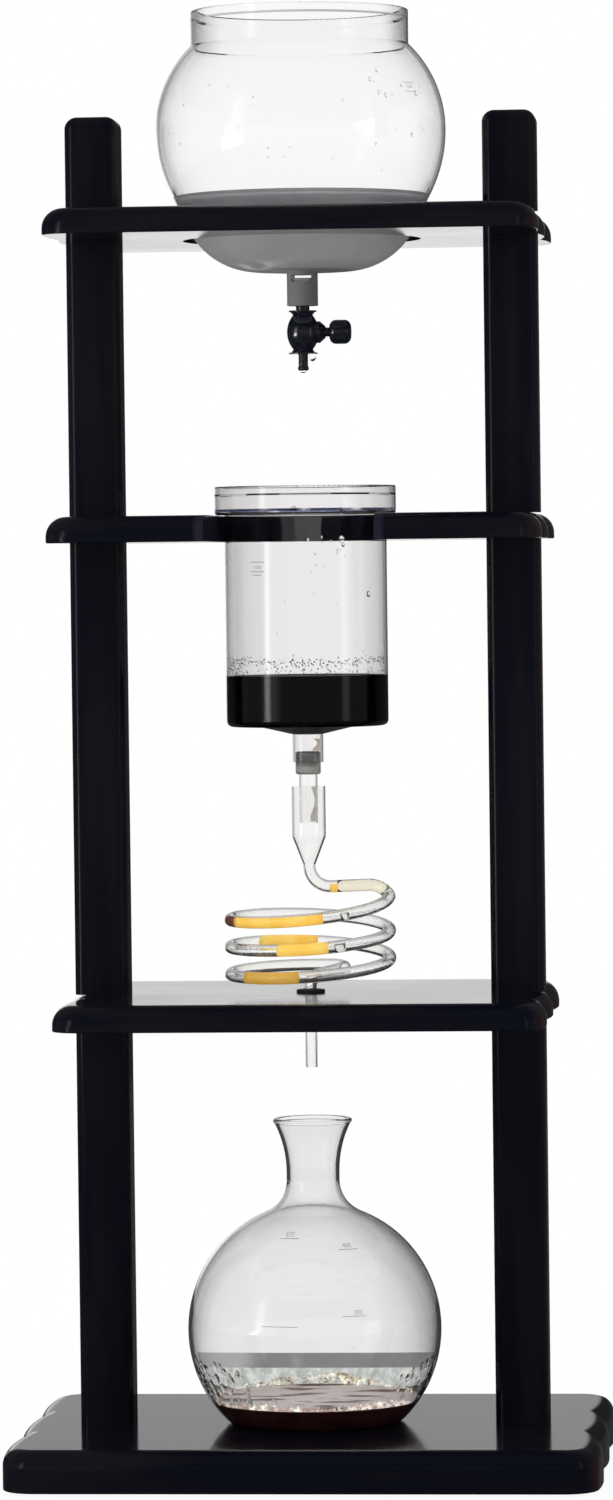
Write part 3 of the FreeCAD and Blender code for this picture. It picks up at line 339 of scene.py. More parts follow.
SHELF_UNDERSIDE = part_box("top_shelf")[0].z
STEM_LENGTH = 22.5 * MM
BOWL_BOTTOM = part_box("water_bowl")[0].z + STEM_LENGTH
RIM_START = 928.0 * MM
RIM_FULL = 934.0 * MM


def bowl_tint(pen):
    """White glass, darker round the stem, grey along the rim and a painted shade greyer at both ends of
    it.
    """
    height = along_axis(pen, 2)
    on_stem = height.between(BOWL_BOTTOM + 1.0 * MM, BOWL_BOTTOM)
    drawn = outline(pen, 0.90 - 0.3 * on_stem, 0.84 - 0.24 * on_stem, 0.06)
    body = drawn.blend(colour(0.995, 0.995, 0.995), colour(0.93, 0.93, 0.94))
    # Painted shade: the rim turns greyer towards both of its ends.
    end = along_axis(pen, 0).absolute().between(55.0 * MM, 69.0 * MM)
    rim = height.between(RIM_START, RIM_FULL) * (0.06 + 0.5 * end)
    return rim.blend(body, colour(0.5, 0.48, 0.5))


bowl_glass = finish(
    "bowl_glass",
    bowl_tint,
    glass_polish,
    transmission_weight=1.0,
    ior=1.33,
)

# %% [markdown]
# ## Valve, rubber, steel and ceramic
# The valve and its knob are moulded black plastic with a faint blue sheen and a fine
# polishing unevenness. The rubber pieces are matt with a dusty mottling, the soft stopper
# is frosted and lets light through, steel has fine turning marks round its axis, and the
# filter disc has the open grain of unglazed ceramic.

# %% Small finishes
valve_plastic = finish(
    "valve_plastic",
    lambda pen: mottle(
        pen, 220.0, 2.0, (0.3, 0.7), colour(0.006, 0.007, 0.014), colour(0.012, 0.014, 0.024)
    ),
    lambda pen: 0.12 + 0.08 * noise(pen, 400.0, 3.0),
    bump=lambda pen: dent(pen, noise(pen, 900.0, 3.0), 0.10, 0.0001),
    specular_ior_level=0.9,
)
black_rubber = finish(
    "black_rubber",
    lambda pen: mottle(
        pen, 160.0, 5.0, (0.35, 0.75), colour(0.010, 0.010, 0.010), colour(0.035, 0.034, 0.032)
    ),
    lambda pen: 0.45 + 0.3 * noise(pen, 300.0, 4.0),
    bump=lambda pen: dent(pen, noise(pen, 1500.0, 4.0), 0.25, 0.0002),
)
plug_rubber = finish(
    "plug_rubber",
    lambda pen: mottle(
        pen, 240.0, 3.0, (0.3, 0.7), colour(0.20, 0.20, 0.19), colour(0.42, 0.415, 0.39), (0.2, 0.2, 1.0)
    ),
    lambda pen: 0.5 + 0.2 * noise(pen, 300.0, 4.0),
    bump=lambda pen: dent(pen, noise(pen, 500.0, 3.0, (0.1, 0.1, 1.0)), 0.3, 0.0003),
)
frosted_silicone = finish(
    "frosted_silicone",
    lambda pen: mottle(
        pen, 120.0, 4.0, (0.3, 0.7), colour(0.50, 0.50, 0.49), colour(0.66, 0.66, 0.65)
    ),
    lambda pen: 0.45 + 0.2 * noise(pen, 260.0, 3.0),
    bump=lambda pen: dent(pen, noise(pen, 700.0, 3.0), 0.2, 0.0002),
    transmission_weight=0.2,
    ior=1.41,
)
nozzle_plastic = finish(
    "nozzle_plastic",
    lambda pen: mottle(
        pen, 300.0, 3.0, (0.3, 0.7), colour(0.012, 0.013, 0.018), colour(0.03, 0.03, 0.036)
    ),
    lambda pen: 0.12 + 0.1 * noise(pen, 500.0),
    bump=lambda pen: dent(pen, noise(pen, 900.0), 0.1, 0.0001),
)
TURNED = (1.0, 0.05, 0.05)
steel = finish(
    "turned_steel",
    lambda pen: noise(pen, 900.0, 3.0, TURNED).blend(colour(0.42, 0.42, 0.43), colour(0.62, 0.62, 0.62)),
    lambda pen: 0.22 + 0.15 * noise(pen, 1200.0, 2.0, TURNED),
    bump=lambda pen: dent(pen, noise(pen, 1500.0, 2.0, TURNED), 0.1, 0.0001),
    metallic=1.0,
)
ceramic = finish(
    "porous_ceramic",
    lambda pen: mottle(
        pen, 900.0, 6.0, (0.3, 0.75), colour(0.72, 0.68, 0.60), colour(0.86, 0.83, 0.77)
    ),
    lambda pen: 0.75 + 0.2 * noise(pen, 700.0, 3.0),
    bump=lambda pen: dent(pen, noise(pen, 2200.0, 5.0), 0.5, 0.0003),
)

FINISHES = {
    board_lacquer: ["base_board", "lower_shelf", "middle_shelf", "top_shelf"],
    post_lacquer: [
        side + part
        for side in ("left", "right")
        for part in ("_lower_post", "_middle_post", "_upper_post", "_post_cap")
    ],
    bowl_glass: ["water_bowl"],
    chamber_glass: ["coffee_chamber"],
    flask_glass: ["flask"],
    tube_glass: ["coil_tube", "drip_tube"],
    valve_plastic: ["valve_body", "valve_bonnet", "valve_knob", "valve_spindle"],
    nozzle_plastic: ["drip_nozzle"],
    black_rubber: ["rubber_feet", "coil_grommet"],
    plug_rubber: ["stem_plug"],
    frosted_silicone: ["bowl_stopper", "filter_seal", "spindle_ring"],
    steel: ["base_screws", "lower_shelf_studs", "middle_shelf_studs", "top_shelf_studs"],
    ceramic: ["filter_disc"],
}
for material, names in FINISHES.items():
    for name in names:
        NODES[name].data.materials.clear()
        NODES[name].data.materials.append(material)
print("finished nodes:", sum(len(names) for names in FINISHES.values()))

# %% [markdown]
# ## Helpers for new pieces
# A liquid takes the shape of its vessel, so it is cut out of the vessel's own mesh: merge a
# copy, cut it at the liquid's level, keep the faces that look at the inside, and close the
# cut. It is made a tenth of a millimetre fatter, so that it overlaps the glass a little:
# light then passes from glass to liquid without meeting a thin layer of air.

# %% Piece helpers
def new_piece(name, bm, materials, body, smooth=True):
    """Makes the object, at the origin, and tells the frame what it rides on."""
    mesh = bpy.data.meshes.new(name)
    bm.to_mesh(mesh)
    bm.free()
    for face in mesh.polygons:
        face.use_smooth = smooth
    for material in materials if isinstance(materials, list) else [materials]:
        mesh.materials.append(material)
    piece = bpy.data.objects.new(name, mesh)
    bpy.context.scene.collection.objects.link(piece)
    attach(piece, body)
    print(name, "faces:", len(mesh.polygons))


def merged_copy(node):
    """The node's mesh in a bmesh of its own, with its triangles joined up."""
    bm = bmesh.new()
    bm.from_mesh(NODES[node].data)
    bmesh.ops.remove_doubles(bm, verts=bm.verts, dist=0.001 * MM)
    return bm


def cut_level(bm, z, keep_below=None):
    """Cuts everything on one side of a level off, or only cuts the faces there."""
    geometry = bm.verts[:] + bm.edges[:] + bm.faces[:]
    bmesh.ops.bisect_plane(bm, geom=geometry, dist=0.0001 * MM, plane_co=(0, 0, z), plane_no=(0, 0, 1),
                           clear_outer=keep_below is True, clear_inner=keep_below is False)


def liquid_in(node, level, bottom, fatten=0.1 * MM):
    """The space inside a vessel between two levels, as a closed bmesh."""
    bm = merged_copy(node)
    cut_level(bm, level, True)
    cut_level(bm, bottom, False)
    eye = Vector((0, 0, level))
    outside = [face for face in bm.faces if face.normal.dot(eye - face.calc_center_median()) <= 0]
    bmesh.ops.delete(bm, geom=outside, context="FACES")
    rim = [edge for edge in bm.edges if edge.is_boundary]
    bmesh.ops.holes_fill(bm, edges=rim, sides=0)
    bmesh.ops.recalc_face_normals(bm, faces=bm.faces)
    bm.normal_update()
    for vert in bm.verts:
        side = Vector((vert.co.x, vert.co.y, 0))
        if side.length > 0.1 * MM:
            vert.co += side.normalized() * fatten
    return bm


def dish(bm, level, width, drop):
    """Lowers the middle of a liquid's surface, which leaves a raised edge."""
    flat = [face for face in bm.faces if face.normal.z > 0.99]
    top = [face for face in flat if abs(face.calc_center_median().z - level) < 0.01 * MM]
    bmesh.ops.inset_region(bm, faces=top, thickness=width, use_even_offset=True)
    inner = {vert for face in top for vert in face.verts}
    bmesh.ops.translate(bm, vec=(0, 0, -drop), verts=list(inner))


def paint_top(bm, level):
    """Gives the upper surface of a liquid the second of its two materials."""
    for face in bm.faces:
        on_top = face.calc_center_median().z > level - 1.0 * MM and face.normal.z > 0.5
        face.material_index = 1 if on_top else 0


# %% [markdown]
# Drops and marks sit on the walls of the vessels. Their place is found with a level ray from
# the axis of the tower, or towards it, which a search tree over the vessel's faces answers.

# %% On the walls
WALLS = {}
FRONT = math.radians(-85.06)


def wall_hit(node, angle, z, outside=False):
    """Where a level ray meets the vessel's wall, and the wall's normal there."""
    if node not in WALLS:
        bm = merged_copy(node)
        WALLS[node] = BVHTree.FromBMesh(bm)
        bm.free()
    way = Vector((math.cos(angle), math.sin(angle), 0))
    start = Vector((0, 0, z))
    if outside:
        spot, normal, _, _ = WALLS[node].ray_cast(start + way * 0.3, -way)
    else:
        spot, normal, _, _ = WALLS[node].ray_cast(start, way)
    return spot, normal


def add_bead(bm, spot, normal, size, flat=0.55, long=1.0, detail=2):
    """A small drop on a wall: a squashed ball, half sunk into the surface."""
    made = bmesh.ops.create_icosphere(bm, subdivisions=detail, radius=size)["verts"]
    bmesh.ops.scale(bm, vec=(1.0, long, flat), verts=made)
    turn = normal.to_track_quat("Z", "Y")
    bmesh.ops.rotate(bm, cent=(0, 0, 0), matrix=turn.to_matrix(), verts=made)
    bmesh.ops.translate(bm, vec=spot + normal * size * flat * 0.3, verts=made)


def scatter_beads(bm, node, chance, count, turn, heights, sizes, outside=False, long=1.0):
    """Drops at random places in a window of the wall; turn is measured from the front."""
    for index in range(count):
        angle = FRONT + math.radians(chance.uniform(*turn))
        spot, normal = wall_hit(node, angle, chance.uniform(*heights) * MM, outside)
        if spot:
            size = chance.uniform(*sizes) * chance.uniform(0.6, 1.0) * MM
            add_bead(bm, spot, normal, size, chance.uniform(0.35, 0.7), long * chance.uniform(0.8, 1.3))


# %% [markdown]
# ## Water in the bowl
# Only the bottom of the bowl still holds water. Its side mirrors the dark shelf that it hangs
# in, which draws a slate-grey band above the shelf's edge, so the water carries that shade
# there itself. Its upper edge is lifted a little where it wets the glass, made by insetting
# the surface and lowering the middle. Stray drops stick to the wall above it.

# %% Water
WATER_LEVEL = 834.5 * MM
SLATE_LOW = 820.0 * MM

water = finish("water", colour(0.93, 0.935, 0.94), 0.0, transmission_weight=1.0, ior=1.333)
water_side = finish(
    "water_side",
    lambda pen: mottle(
        pen, 45.0, 4.0, (0.3, 0.7), colour(0.86, 0.88, 0.93), colour(0.97, 0.98, 1.0), (1.0, 1.0, 0.3)
    ),
    0.05,
    transmission_weight=0.3,
    ior=1.333,
)
bm = liquid_in("water_bowl", WATER_LEVEL, BOWL_BOTTOM + 0.5 * MM)
cut_level(bm, SLATE_LOW)
dish(bm, WATER_LEVEL, 1.2 * MM, 0.4 * MM)
for face in bm.faces:
    in_band = SLATE_LOW < face.calc_center_median().z < WATER_LEVEL - 0.3 * MM
    face.material_index = 1 if in_band and abs(face.normal.z) < 0.9 else 0
new_piece("bowl_water", bm, [water, water_side], "bowl")

drop_water = finish("drop_water", colour(0.97, 0.97, 0.975), 0.0, transmission_weight=1.0, ior=1.333)
chance = random.Random(5)
bm = bmesh.new()
scatter_beads(bm, "water_bowl", chance, 26, (-70, 70), (845, 905), (0.4, 0.9))
scatter_beads(bm, "water_bowl", chance, 10, (25, 60), (860, 912), (0.6, 1.3), long=1.4)
scatter_beads(bm, "water_bowl", chance, 12, (100, 260), (845, 905), (0.4, 0.9))
new_piece("bowl_drops", bm, drop_water, "bowl")

# %% [markdown]
# Below the shelf the cold bowl is fogged, and its stem is ground glass: a thin grey film lies
# on the outside of both, taken from the bowl's own outer faces and moved out by a tenth of a
# millimetre. The stem is clear only in a small window at the top of its stopper.

# %% Frost under the bowl
FROST_GAP = 0.1 * MM
WINDOW_HALF = 6.3 * MM
WINDOW_LOW = 777.7 * MM
WINDOW_HIGH = 781.9 * MM
WINDOW_SOFT = 0.5 * MM


def frost_tint(pen):
    """Cloudy grey under the bowl with pale drops at the left, darker on the stem; painted shade darkens
    both towards the right.
    """
    height = along_axis(pen, 2)
    side = along_axis(pen, 0)
    # Noise for the cloud, and painted shade: lighter towards the left, darker towards the right.
    cloud_and_side_shade = noise(pen, 30.0, 4.0).between(0.3, 0.75) * 0.6 + side.between(0.02, -0.08) * 0.4
    underside = cloud_and_side_shade.blend(colour(0.37, 0.37, 0.37), colour(0.50, 0.50, 0.49))
    lowest = height.between(792.0 * MM, 786.0 * MM)
    drops = noise(pen, 60.0, 4.0).between(0.45, 0.6) * lowest * side.between(0.0, -0.03)
    underside = drops.blend(underside, colour(0.85, 0.85, 0.86))
    # Painted shade: the stem darkens from left to right.
    stem = side.between(-0.009, 0.009).blend(colour(0.32, 0.31, 0.31), colour(0.18, 0.175, 0.175))
    return height.between(785.5 * MM, 784.0 * MM).blend(underside, stem)


def frost_cover(pen):
    """How much the film hides: nothing in the window of the stem."""
    across = along_axis(pen, 0).band(-WINDOW_HALF, WINDOW_HALF, WINDOW_SOFT)
    window = across * along_axis(pen, 2).band(WINDOW_LOW, WINDOW_HIGH, WINDOW_SOFT)
    return 0.93 - 0.93 * window


frost = finish(
    "frost",
    frost_tint,
    lambda pen: 0.5 + 0.2 * noise(pen, 200.0, 3.0),
    cover=frost_cover,
    bump=lambda pen: dent(pen, noise(pen, 400.0, 4.0), 0.15, 0.0002),
    specular_ior_level=0.2,
)
bm = merged_copy("water_bowl")
cut_level(bm, SHELF_UNDERSIDE + 4.0 * MM, True)
eye = Vector((0, 0, WATER_LEVEL))
inner = [face for face in bm.faces if face.normal.dot(eye - face.calc_center_median()) >= 0]
bmesh.ops.delete(bm, geom=inner, context="FACES")
bm.normal_update()
for vert in bm.verts:
    vert.co += vert.normal * FROST_GAP
new_piece("bowl_frost", bm, frost, "bowl")

# %% [markdown]
# One drop hangs beside the nozzle, caught between it and the disc of the valve, and the next
# one forms under its end.

# %% Drops at the nozzle
nozzle_low, nozzle_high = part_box("drip_nozzle")
bm = bmesh.new()
caught = Vector((5.6 * MM, -2.0 * MM, nozzle_high.z - 5.6 * MM))
add_bead(bm, caught, Vector((1, 0, 0)), 3.3 * MM, 0.72, 1.0, 3)
add_bead(bm, Vector((0, 0, nozzle_low.z)), Vector((0, 0, -1)), 2.0 * MM, 0.6, 1.0, 3)
new_piece("nozzle_drops", bm, drop_water, "bowl")

# %% [markdown]
# ## Coffee in the chamber
# The chamber holds a bed of soaked grounds. Through wet glass it is a dead black up to the
# outline, without any sheen of its own, so the side material has no specular part. The top
# is crumbly and brown. A thin line of grounds and scum clings to the glass above it.

# %% Coffee bed
COFFEE_LEVEL = 520.2 * MM
CHAMBER_FLOOR = 484.3 * MM

grounds_side = finish(
    "grounds_side",
    lambda pen: mottle(
        pen, 500.0, 4.0, (0.35, 0.8), colour(0.0016, 0.0014, 0.0016), colour(0.004, 0.003, 0.003)
    ),
    lambda pen: 0.8 + 0.2 * noise(pen, 300.0),
    specular_ior_level=0.0,
)
grounds_top = finish(
    "grounds_top",
    lambda pen: mottle(
        pen, 1200.0, 5.0, (0.35, 0.7), colour(0.008, 0.005, 0.0035), colour(0.05, 0.028, 0.015)
    ),
    lambda pen: 0.35 + 0.4 * noise(pen, 900.0, 4.0),
    bump=lambda pen: dent(pen, noise(pen, 1300.0, 6.0), 1.0, 0.0012),
    specular_ior_level=0.3,
)
bm = liquid_in("coffee_chamber", COFFEE_LEVEL, CHAMBER_FLOOR)
dish(bm, COFFEE_LEVEL, 2.0 * MM, 0.6 * MM)
paint_top(bm, COFFEE_LEVEL)
new_piece("coffee_bed", bm, [grounds_side, grounds_top], "chamber")

# %% Scum line and grounds on the glass
SCUM_LINE = 529.0  # millimetres
SCUM_COUNT = 560

scum = finish(
    "coffee_scum",
    lambda pen: mottle(
        pen, 350.0, 4.0, (0.35, 0.7), colour(0.50, 0.36, 0.22), colour(0.20, 0.10, 0.05)
    ),
    lambda pen: 0.4 + 0.2 * noise(pen, 500.0),
    bump=lambda pen: dent(pen, noise(pen, 900.0, 3.0), 0.4, 0.0002),
)
chance = random.Random(23)
bm = bmesh.new()
for index in range(SCUM_COUNT):
    angle = chance.uniform(0, 2 * math.pi)
    height = SCUM_LINE + 1.2 * math.sin(2 * angle + 1) + chance.gauss(0, 1.1)
    if chance.random() < 0.35:
        height = 520.6 + abs(chance.gauss(0, 2.6))
    if index % 6 == 0:
        angle = FRONT + math.radians(chance.uniform(-88, -52))
        height = chance.uniform(520.4, SCUM_LINE)
    spot, normal = wall_hit("coffee_chamber", angle, height * MM)
    add_bead(bm, spot, normal, chance.uniform(0.2, 0.7) * MM, 0.25, chance.uniform(0.7, 1.2), 1)
new_piece("coffee_scum", bm, scum, "chamber")

bm = bmesh.new()
scatter_beads(bm, "coffee_chamber", chance, 9, (-35, 45), (524, 540), (0.5, 1.1), long=1.3)
scatter_beads(bm, "coffee_chamber", chance, 12, (-60, 60), (545, 600), (0.3, 0.7))
scatter_beads(bm, "coffee_chamber", chance, 10, (0, 30), (598, 612), (0.5, 1.2))
scatter_beads(bm, "coffee_chamber", chance, 12, (110, 250), (530, 600), (0.4, 0.8))
LARGE_DROPS = (  # turn from the front in degrees, height and size in millimetres
    (-8.5, 627.5, 2.3),
    (27.0, 627.0, 1.9),
    (27.0, 609.0, 1.8),
    (28.5, 605.0, 1.3),
    (52.0, 573.0, 1.6),
)
for turn, height, size in LARGE_DROPS:
    spot, normal = wall_hit("coffee_chamber", FRONT + math.radians(turn), height * MM)
    add_bead(bm, spot, normal, size * MM, 0.6, 1.35, 2)
new_piece("chamber_drops", bm, drop_water, "chamber")

# %% [markdown]
# Coffee that has run down leaves thin amber films: one in the drip tube, on the side that the
# last drop took, and one in the chamber's stem. A film is a patch on an upright cylinder.

# %% Amber films
amber_film = finish(
    "amber_film",
    lambda pen: mottle(
        pen, 260.0, 3.0, (0.3, 0.7), colour(0.85, 0.42, 0.05), colour(0.97, 0.72, 0.30)
    ),
    lambda pen: 0.15 + 0.1 * noise(pen, 300.0),
    alpha=0.7,
)


def add_film(bm, radius, low, high, first, last):
    """A patch with a ragged outline; its ends are turns from the front, in degrees."""
    made = bmesh.ops.create_grid(bm, x_segments=14, y_segments=18, size=0.5)["verts"]
    for vert in made:
        share = vert.co.y + 0.5
        reach = last - (last - first) * (0.5 - vert.co.x) * (0.75 + 0.25 * math.sin(6 * share + 1))
        angle = FRONT + math.radians(reach)
        vert.co = Vector((radius * math.cos(angle), radius * math.sin(angle), low + (high - low) * share))


tube_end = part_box("drip_tube")[0].z
plug_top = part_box("stem_plug")[1].z
bm = bmesh.new()
add_film(bm, 4.8 * MM, tube_end + 1.0 * MM, tube_end + 24.0 * MM, 12, 88)
add_film(bm, 8.2 * MM, plug_top + 0.5 * MM, plug_top + 8.5 * MM, 20, 70)
new_piece("coffee_films", bm, amber_film, "chamber")

# %% [markdown]
# ## Coffee in the coil
# Coffee travels down the coil in slugs with air between them. Each slug is a rod of liquid
# along the middle line of the tube: one circle per station, turned to face along the tube,
# bridged to the circle before it. Where air runs over the coffee, the top of the circle is
# pressed flat. The rod is a hair thicker than the bore, so that no air lies between.

# %% Middle line of the coil
COIL_RADIUS = 52.4 * MM
COIL_PITCH = 17.92 * MM
COIL_HIGH = 374.4 * MM
COIL_LEAN = 0.078
ENTRY_BEND = 11.0 * MM
ENTRY_FALL = 6.4 * MM
LEAD_IN_FALL = 5 * MM
FULL_BORE = 2.95 * MM


def coil_spot(turns):
    """A point of the middle line, so many turns down from the right-hand side."""
    angle = -2 * math.pi * turns
    early = 1 - 2 * min(turns, 0.5)
    spot = Vector((COIL_RADIUS * math.cos(angle), COIL_RADIUS * math.sin(angle), 0))
    lead_in = LEAD_IN_FALL * (1 - early * early)
    spot.z = COIL_HIGH - COIL_PITCH * turns - lead_in + COIL_LEAN * spot.y
    return spot


def entry_spot(share):
    """A point of the bend between the lead-in and the first turn, 0 at its start."""
    side = COIL_RADIUS - ENTRY_BEND
    angle = (math.pi / 2 + math.asin(ENTRY_BEND / side)) * (1 - share)
    spot = Vector((side + ENTRY_BEND * math.cos(angle), ENTRY_BEND * math.sin(angle), 0))
    fall = ENTRY_FALL * (3 - 2 * share) * share**2 - 2.33 * MM * (1 - share) * share**2
    spot.z = COIL_HIGH + ENTRY_FALL - fall + COIL_LEAN * spot.y
    return spot


def fill_tube(bm, spots, radius, fill=1.0):
    """A rod of liquid along a line of spots; less than 1 leaves air above it."""
    rings = []
    for index, spot in enumerate(spots):
        along = (spots[min(index + 1, len(spots) - 1)] - spots[max(index - 1, 0)]).normalized()
        side = along.cross(Vector((0, 0, 1))).normalized()
        up = side.cross(along)
        facing = Matrix((side, up, along)).transposed().to_4x4()
        facing.translation = spot
        made = bmesh.ops.create_circle(bm, segments=20, radius=radius)["verts"]
        for vert in made:
            vert.co.y = min(vert.co.y, radius * (2 * fill - 1))
        # A dict keeps the order of the edges, which a set doesn't, so each run bridges alike.
        ring = list(dict.fromkeys(edge for vert in made for edge in vert.link_edges))
        bmesh.ops.transform(bm, matrix=facing, verts=made)
        if rings:
            bmesh.ops.bridge_loops(bm, edges=rings[-1] + ring)
        rings.append(ring)
    bmesh.ops.edgeloop_fill(bm, edges=rings[0])
    bmesh.ops.edgeloop_fill(bm, edges=rings[-1])
    bmesh.ops.recalc_face_normals(bm, faces=bm.faces)


def slug(bm, start, end, fill=1.0):
    """Liquid in the coil between two places, given in turns."""
    count = max(4, round((end - start) * 60))
    spots = [coil_spot(start + (end - start) * step / count) for step in range(count + 1)]
    fill_tube(bm, spots, FULL_BORE, fill)


# %% Slugs
def amber_tint(pen):
    """Bright amber, duller in the lowest slug, and painted shade brown at the left tip of the highest."""
    # Painted shade: the coffee is seen end-on at this tip and is painted dark brown.
    tip = along_axis(pen, 0).between(-44.5 * MM, -48.0 * MM)
    upper = along_axis(pen, 2).between(345.0 * MM, 350.0 * MM)
    lowest = along_axis(pen, 2).between(337.0 * MM, 332.0 * MM)
    fresh = mottle(pen, 70.0, 2.0, (0.3, 0.7), colour(0.96, 0.60, 0.10), colour(0.99, 0.72, 0.19))
    fresh = (lowest * 0.75).blend(fresh, colour(0.60, 0.34, 0.06))
    return (tip * upper).blend(fresh, colour(0.16, 0.045, 0.03))


amber_coffee = finish(
    "amber_coffee",
    amber_tint,
    lambda pen: 0.1 + 0.1 * noise(pen, 90.0, 2.0),
    # The glow is painted light: the coffee shines amber by itself.
    glow=amber_tint,
    emission_strength=0.52,
    transmission_weight=0.1,
    ior=1.36,
)
bm = bmesh.new()
slug(bm, 0.212, 0.515, 0.92)
for start, end in ((1.628, 1.7515), (1.202, 1.302), (2.26, 2.382)):
    slug(bm, start, end)
run_start = Vector((0, 0, COIL_HIGH + ENTRY_FALL))
fill_tube(bm, [run_start.lerp(entry_spot(0), 0.34 + 0.03 * step) for step in range(5)], FULL_BORE, 0.75)
new_piece("coil_coffee", bm, amber_coffee, "coil")

weak_coffee = finish("weak_coffee", colour(0.99, 0.93, 0.76), 0.0, transmission_weight=1.0, ior=1.36)
bm = bmesh.new()
run = [run_start.lerp(entry_spot(0), 0.47 + 0.088 * step) for step in range(6)]
fill_tube(bm, run + [entry_spot(0.05 * step) for step in range(13)], FULL_BORE)
new_piece("coil_rinse", bm, weak_coffee, "coil")

bm = bmesh.new()
for start, end, fill in ((1.168, 1.186, 0.8), (2.02, 2.035, 0.7), (0.16, 0.172, 0.7)):
    slug(bm, start, end, fill)
new_piece("coil_drops", bm, drop_water, "coil")

# %% [markdown]
# ## Coffee in the flask
# A little coffee covers the bottom of the flask, almost black through the glass. A pinkish
# film of foam floats on it, beads of foam stand along the glass all round, golden at the
# back, and drops have dried on the wall above.

# %% Flask coffee
FLASK_LEVEL = 44.6 * MM
FLASK_FLOOR = 31.25 * MM
dark_coffee = finish(
    "dark_coffee",
    lambda pen: mottle(
        pen, 60.0, 3.0, (0.3, 0.7), colour(0.050, 0.015, 0.016), colour(0.090, 0.026, 0.025)
    ),
    lambda pen: 0.3 + 0.1 * noise(pen, 90.0, 2.0),
    specular_ior_level=0.0,
)


def foam_tint(pen):
    """Pale pinkish foam with long dark patches."""
    patches = noise(pen, 70.0, 5.0, (0.40, 1.0, 1.0)).between(0.50, 0.62)
    pale = mottle(pen, 300.0, 3.0, (0.3, 0.7), colour(0.88, 0.76, 0.75), colour(0.97, 0.90, 0.88))
    return patches.blend(pale, colour(0.22, 0.13, 0.11))


foam_film = finish(
    "foam_film",
    foam_tint,
    lambda pen: 0.25 + 0.3 * noise(pen, 200.0, 3.0),
    # The glow is painted light: the foam shines by itself.
    glow=foam_tint,
    emission_strength=0.22,
    bump=lambda pen: dent(pen, noise(pen, 260.0, 5.0), 0.8, 0.0012),
    specular_ior_level=0.3,
)
bm = liquid_in("flask", FLASK_LEVEL, FLASK_FLOOR)
dish(bm, FLASK_LEVEL, 1.8 * MM, 0.7 * MM)
paint_top(bm, FLASK_LEVEL)
new_piece("flask_coffee", bm, [dark_coffee, foam_film], "flask")

# %% Foam and drops in the flask
BEAD_WINDOW = (0.40, 0.60)
BEAD_COUNT = 1000


def bead_tint(pen):
    """Pinkish beads in front, golden ones at the back."""
    golden = mottle(pen, 190.0, 3.0, BEAD_WINDOW, colour(0.30, 0.21, 0.10), colour(0.95, 0.93, 0.84))
    pinkish = mottle(pen, 190.0, 3.0, BEAD_WINDOW, colour(0.55, 0.42, 0.36), colour(0.99, 0.96, 0.92))
    return along_axis(pen, 1).between(-0.02, 0.02).blend(pinkish, golden)


foam_bead = finish(
    "foam_bead",
    bead_tint,
    lambda pen: 0.08 + 0.1 * noise(pen, 300.0),
    # The glow is painted light: the beads shine by themselves.
    glow=bead_tint,
    emission_strength=0.45,
    transmission_weight=0.25,
    ior=1.25,
)
chance = random.Random(11)
bm = bmesh.new()
for index in range(BEAD_COUNT):
    angle = chance.uniform(0, 2 * math.pi)
    if index % 4 == 0:
        angle = math.radians(chance.gauss(90, 18))
    elif index % 4 < 3:
        angle = FRONT + math.radians(chance.uniform(-62, 62))
    rear = max(0.0, math.sin(angle))
    spot, normal = wall_hit("flask", angle, FLASK_LEVEL + chance.uniform(-0.2, 0.8 + 5.5 * rear**6) * MM)
    size = chance.uniform(0.35, 1.15) * MM * (0.7 + 0.5 * math.sin(3 * angle + 1) ** 2)
    away = size * chance.choice((0.7, 0.7, 0.9, 1.8, 3.5))
    add_bead(bm, spot + normal * away, Vector((0, 0, 1)), size, 0.8, 1.0, 1)
new_piece("flask_foam", bm, foam_bead, "flask")

soft_drop = finish("soft_drop", colour(0.92, 0.925, 0.92), 0.0, transmission_weight=1.0, ior=1.11)
bm = bmesh.new()
scatter_beads(bm, "flask", chance, 80, (-88, -35), (47, 74), (0.8, 2.6), long=1.6)
scatter_beads(bm, "flask", chance, 16, (-45, -15), (46, 52), (0.6, 1.4), long=1.2)
scatter_beads(bm, "flask", chance, 34, (45, 88), (47, 72), (0.8, 2.2), long=1.6)
scatter_beads(bm, "flask", chance, 18, (110, 250), (52, 60), (0.6, 1.4))
scatter_beads(bm, "flask", chance, 14, (-60, 60), (70, 150), (0.3, 0.7))
new_piece("flask_drops", bm, soft_drop, "flask")

# %% [markdown]
# ## Marks on the glass
# The vessels have faint printed marks: short lines with a plain number. A line is a strip of
# faces, a number is a text turned into a mesh, and both are laid on the wall point by point,
# a tenth of a millimetre above it.

# %% Marks
mark_print = finish(
    "mark_print",
    lambda pen: mottle(
        pen, 700.0, 3.0, (0.35, 0.65), colour(0.16, 0.165, 0.17), colour(0.34, 0.345, 0.35)
    ),
    lambda pen: 0.5 + 0.2 * noise(pen, 500.0),
    alpha=0.75,
)


def lay_on(bm, verts, node, turn, height):
    """Takes flat points, x along the wall and y up, onto the outside of a vessel."""
    spot, _ = wall_hit(node, FRONT + math.radians(turn), height * MM, True)
    reach = math.hypot(spot.x, spot.y)
    for vert in verts:
        angle = FRONT + math.radians(turn) + vert.co.x / reach
        spot, normal = wall_hit(node, angle, height * MM + vert.co.y, True)
        vert.co = spot + normal * 0.1 * MM


def add_line(bm, node, turn, height, length, thick=0.5):
    """A level line, its length and thickness in millimetres."""
    made = bmesh.ops.create_grid(bm, x_segments=14, y_segments=1, size=0.5 * MM)["verts"]
    bmesh.ops.scale(bm, vec=(length, thick, 1.0), verts=made)
    lay_on(bm, made, node, turn, height)


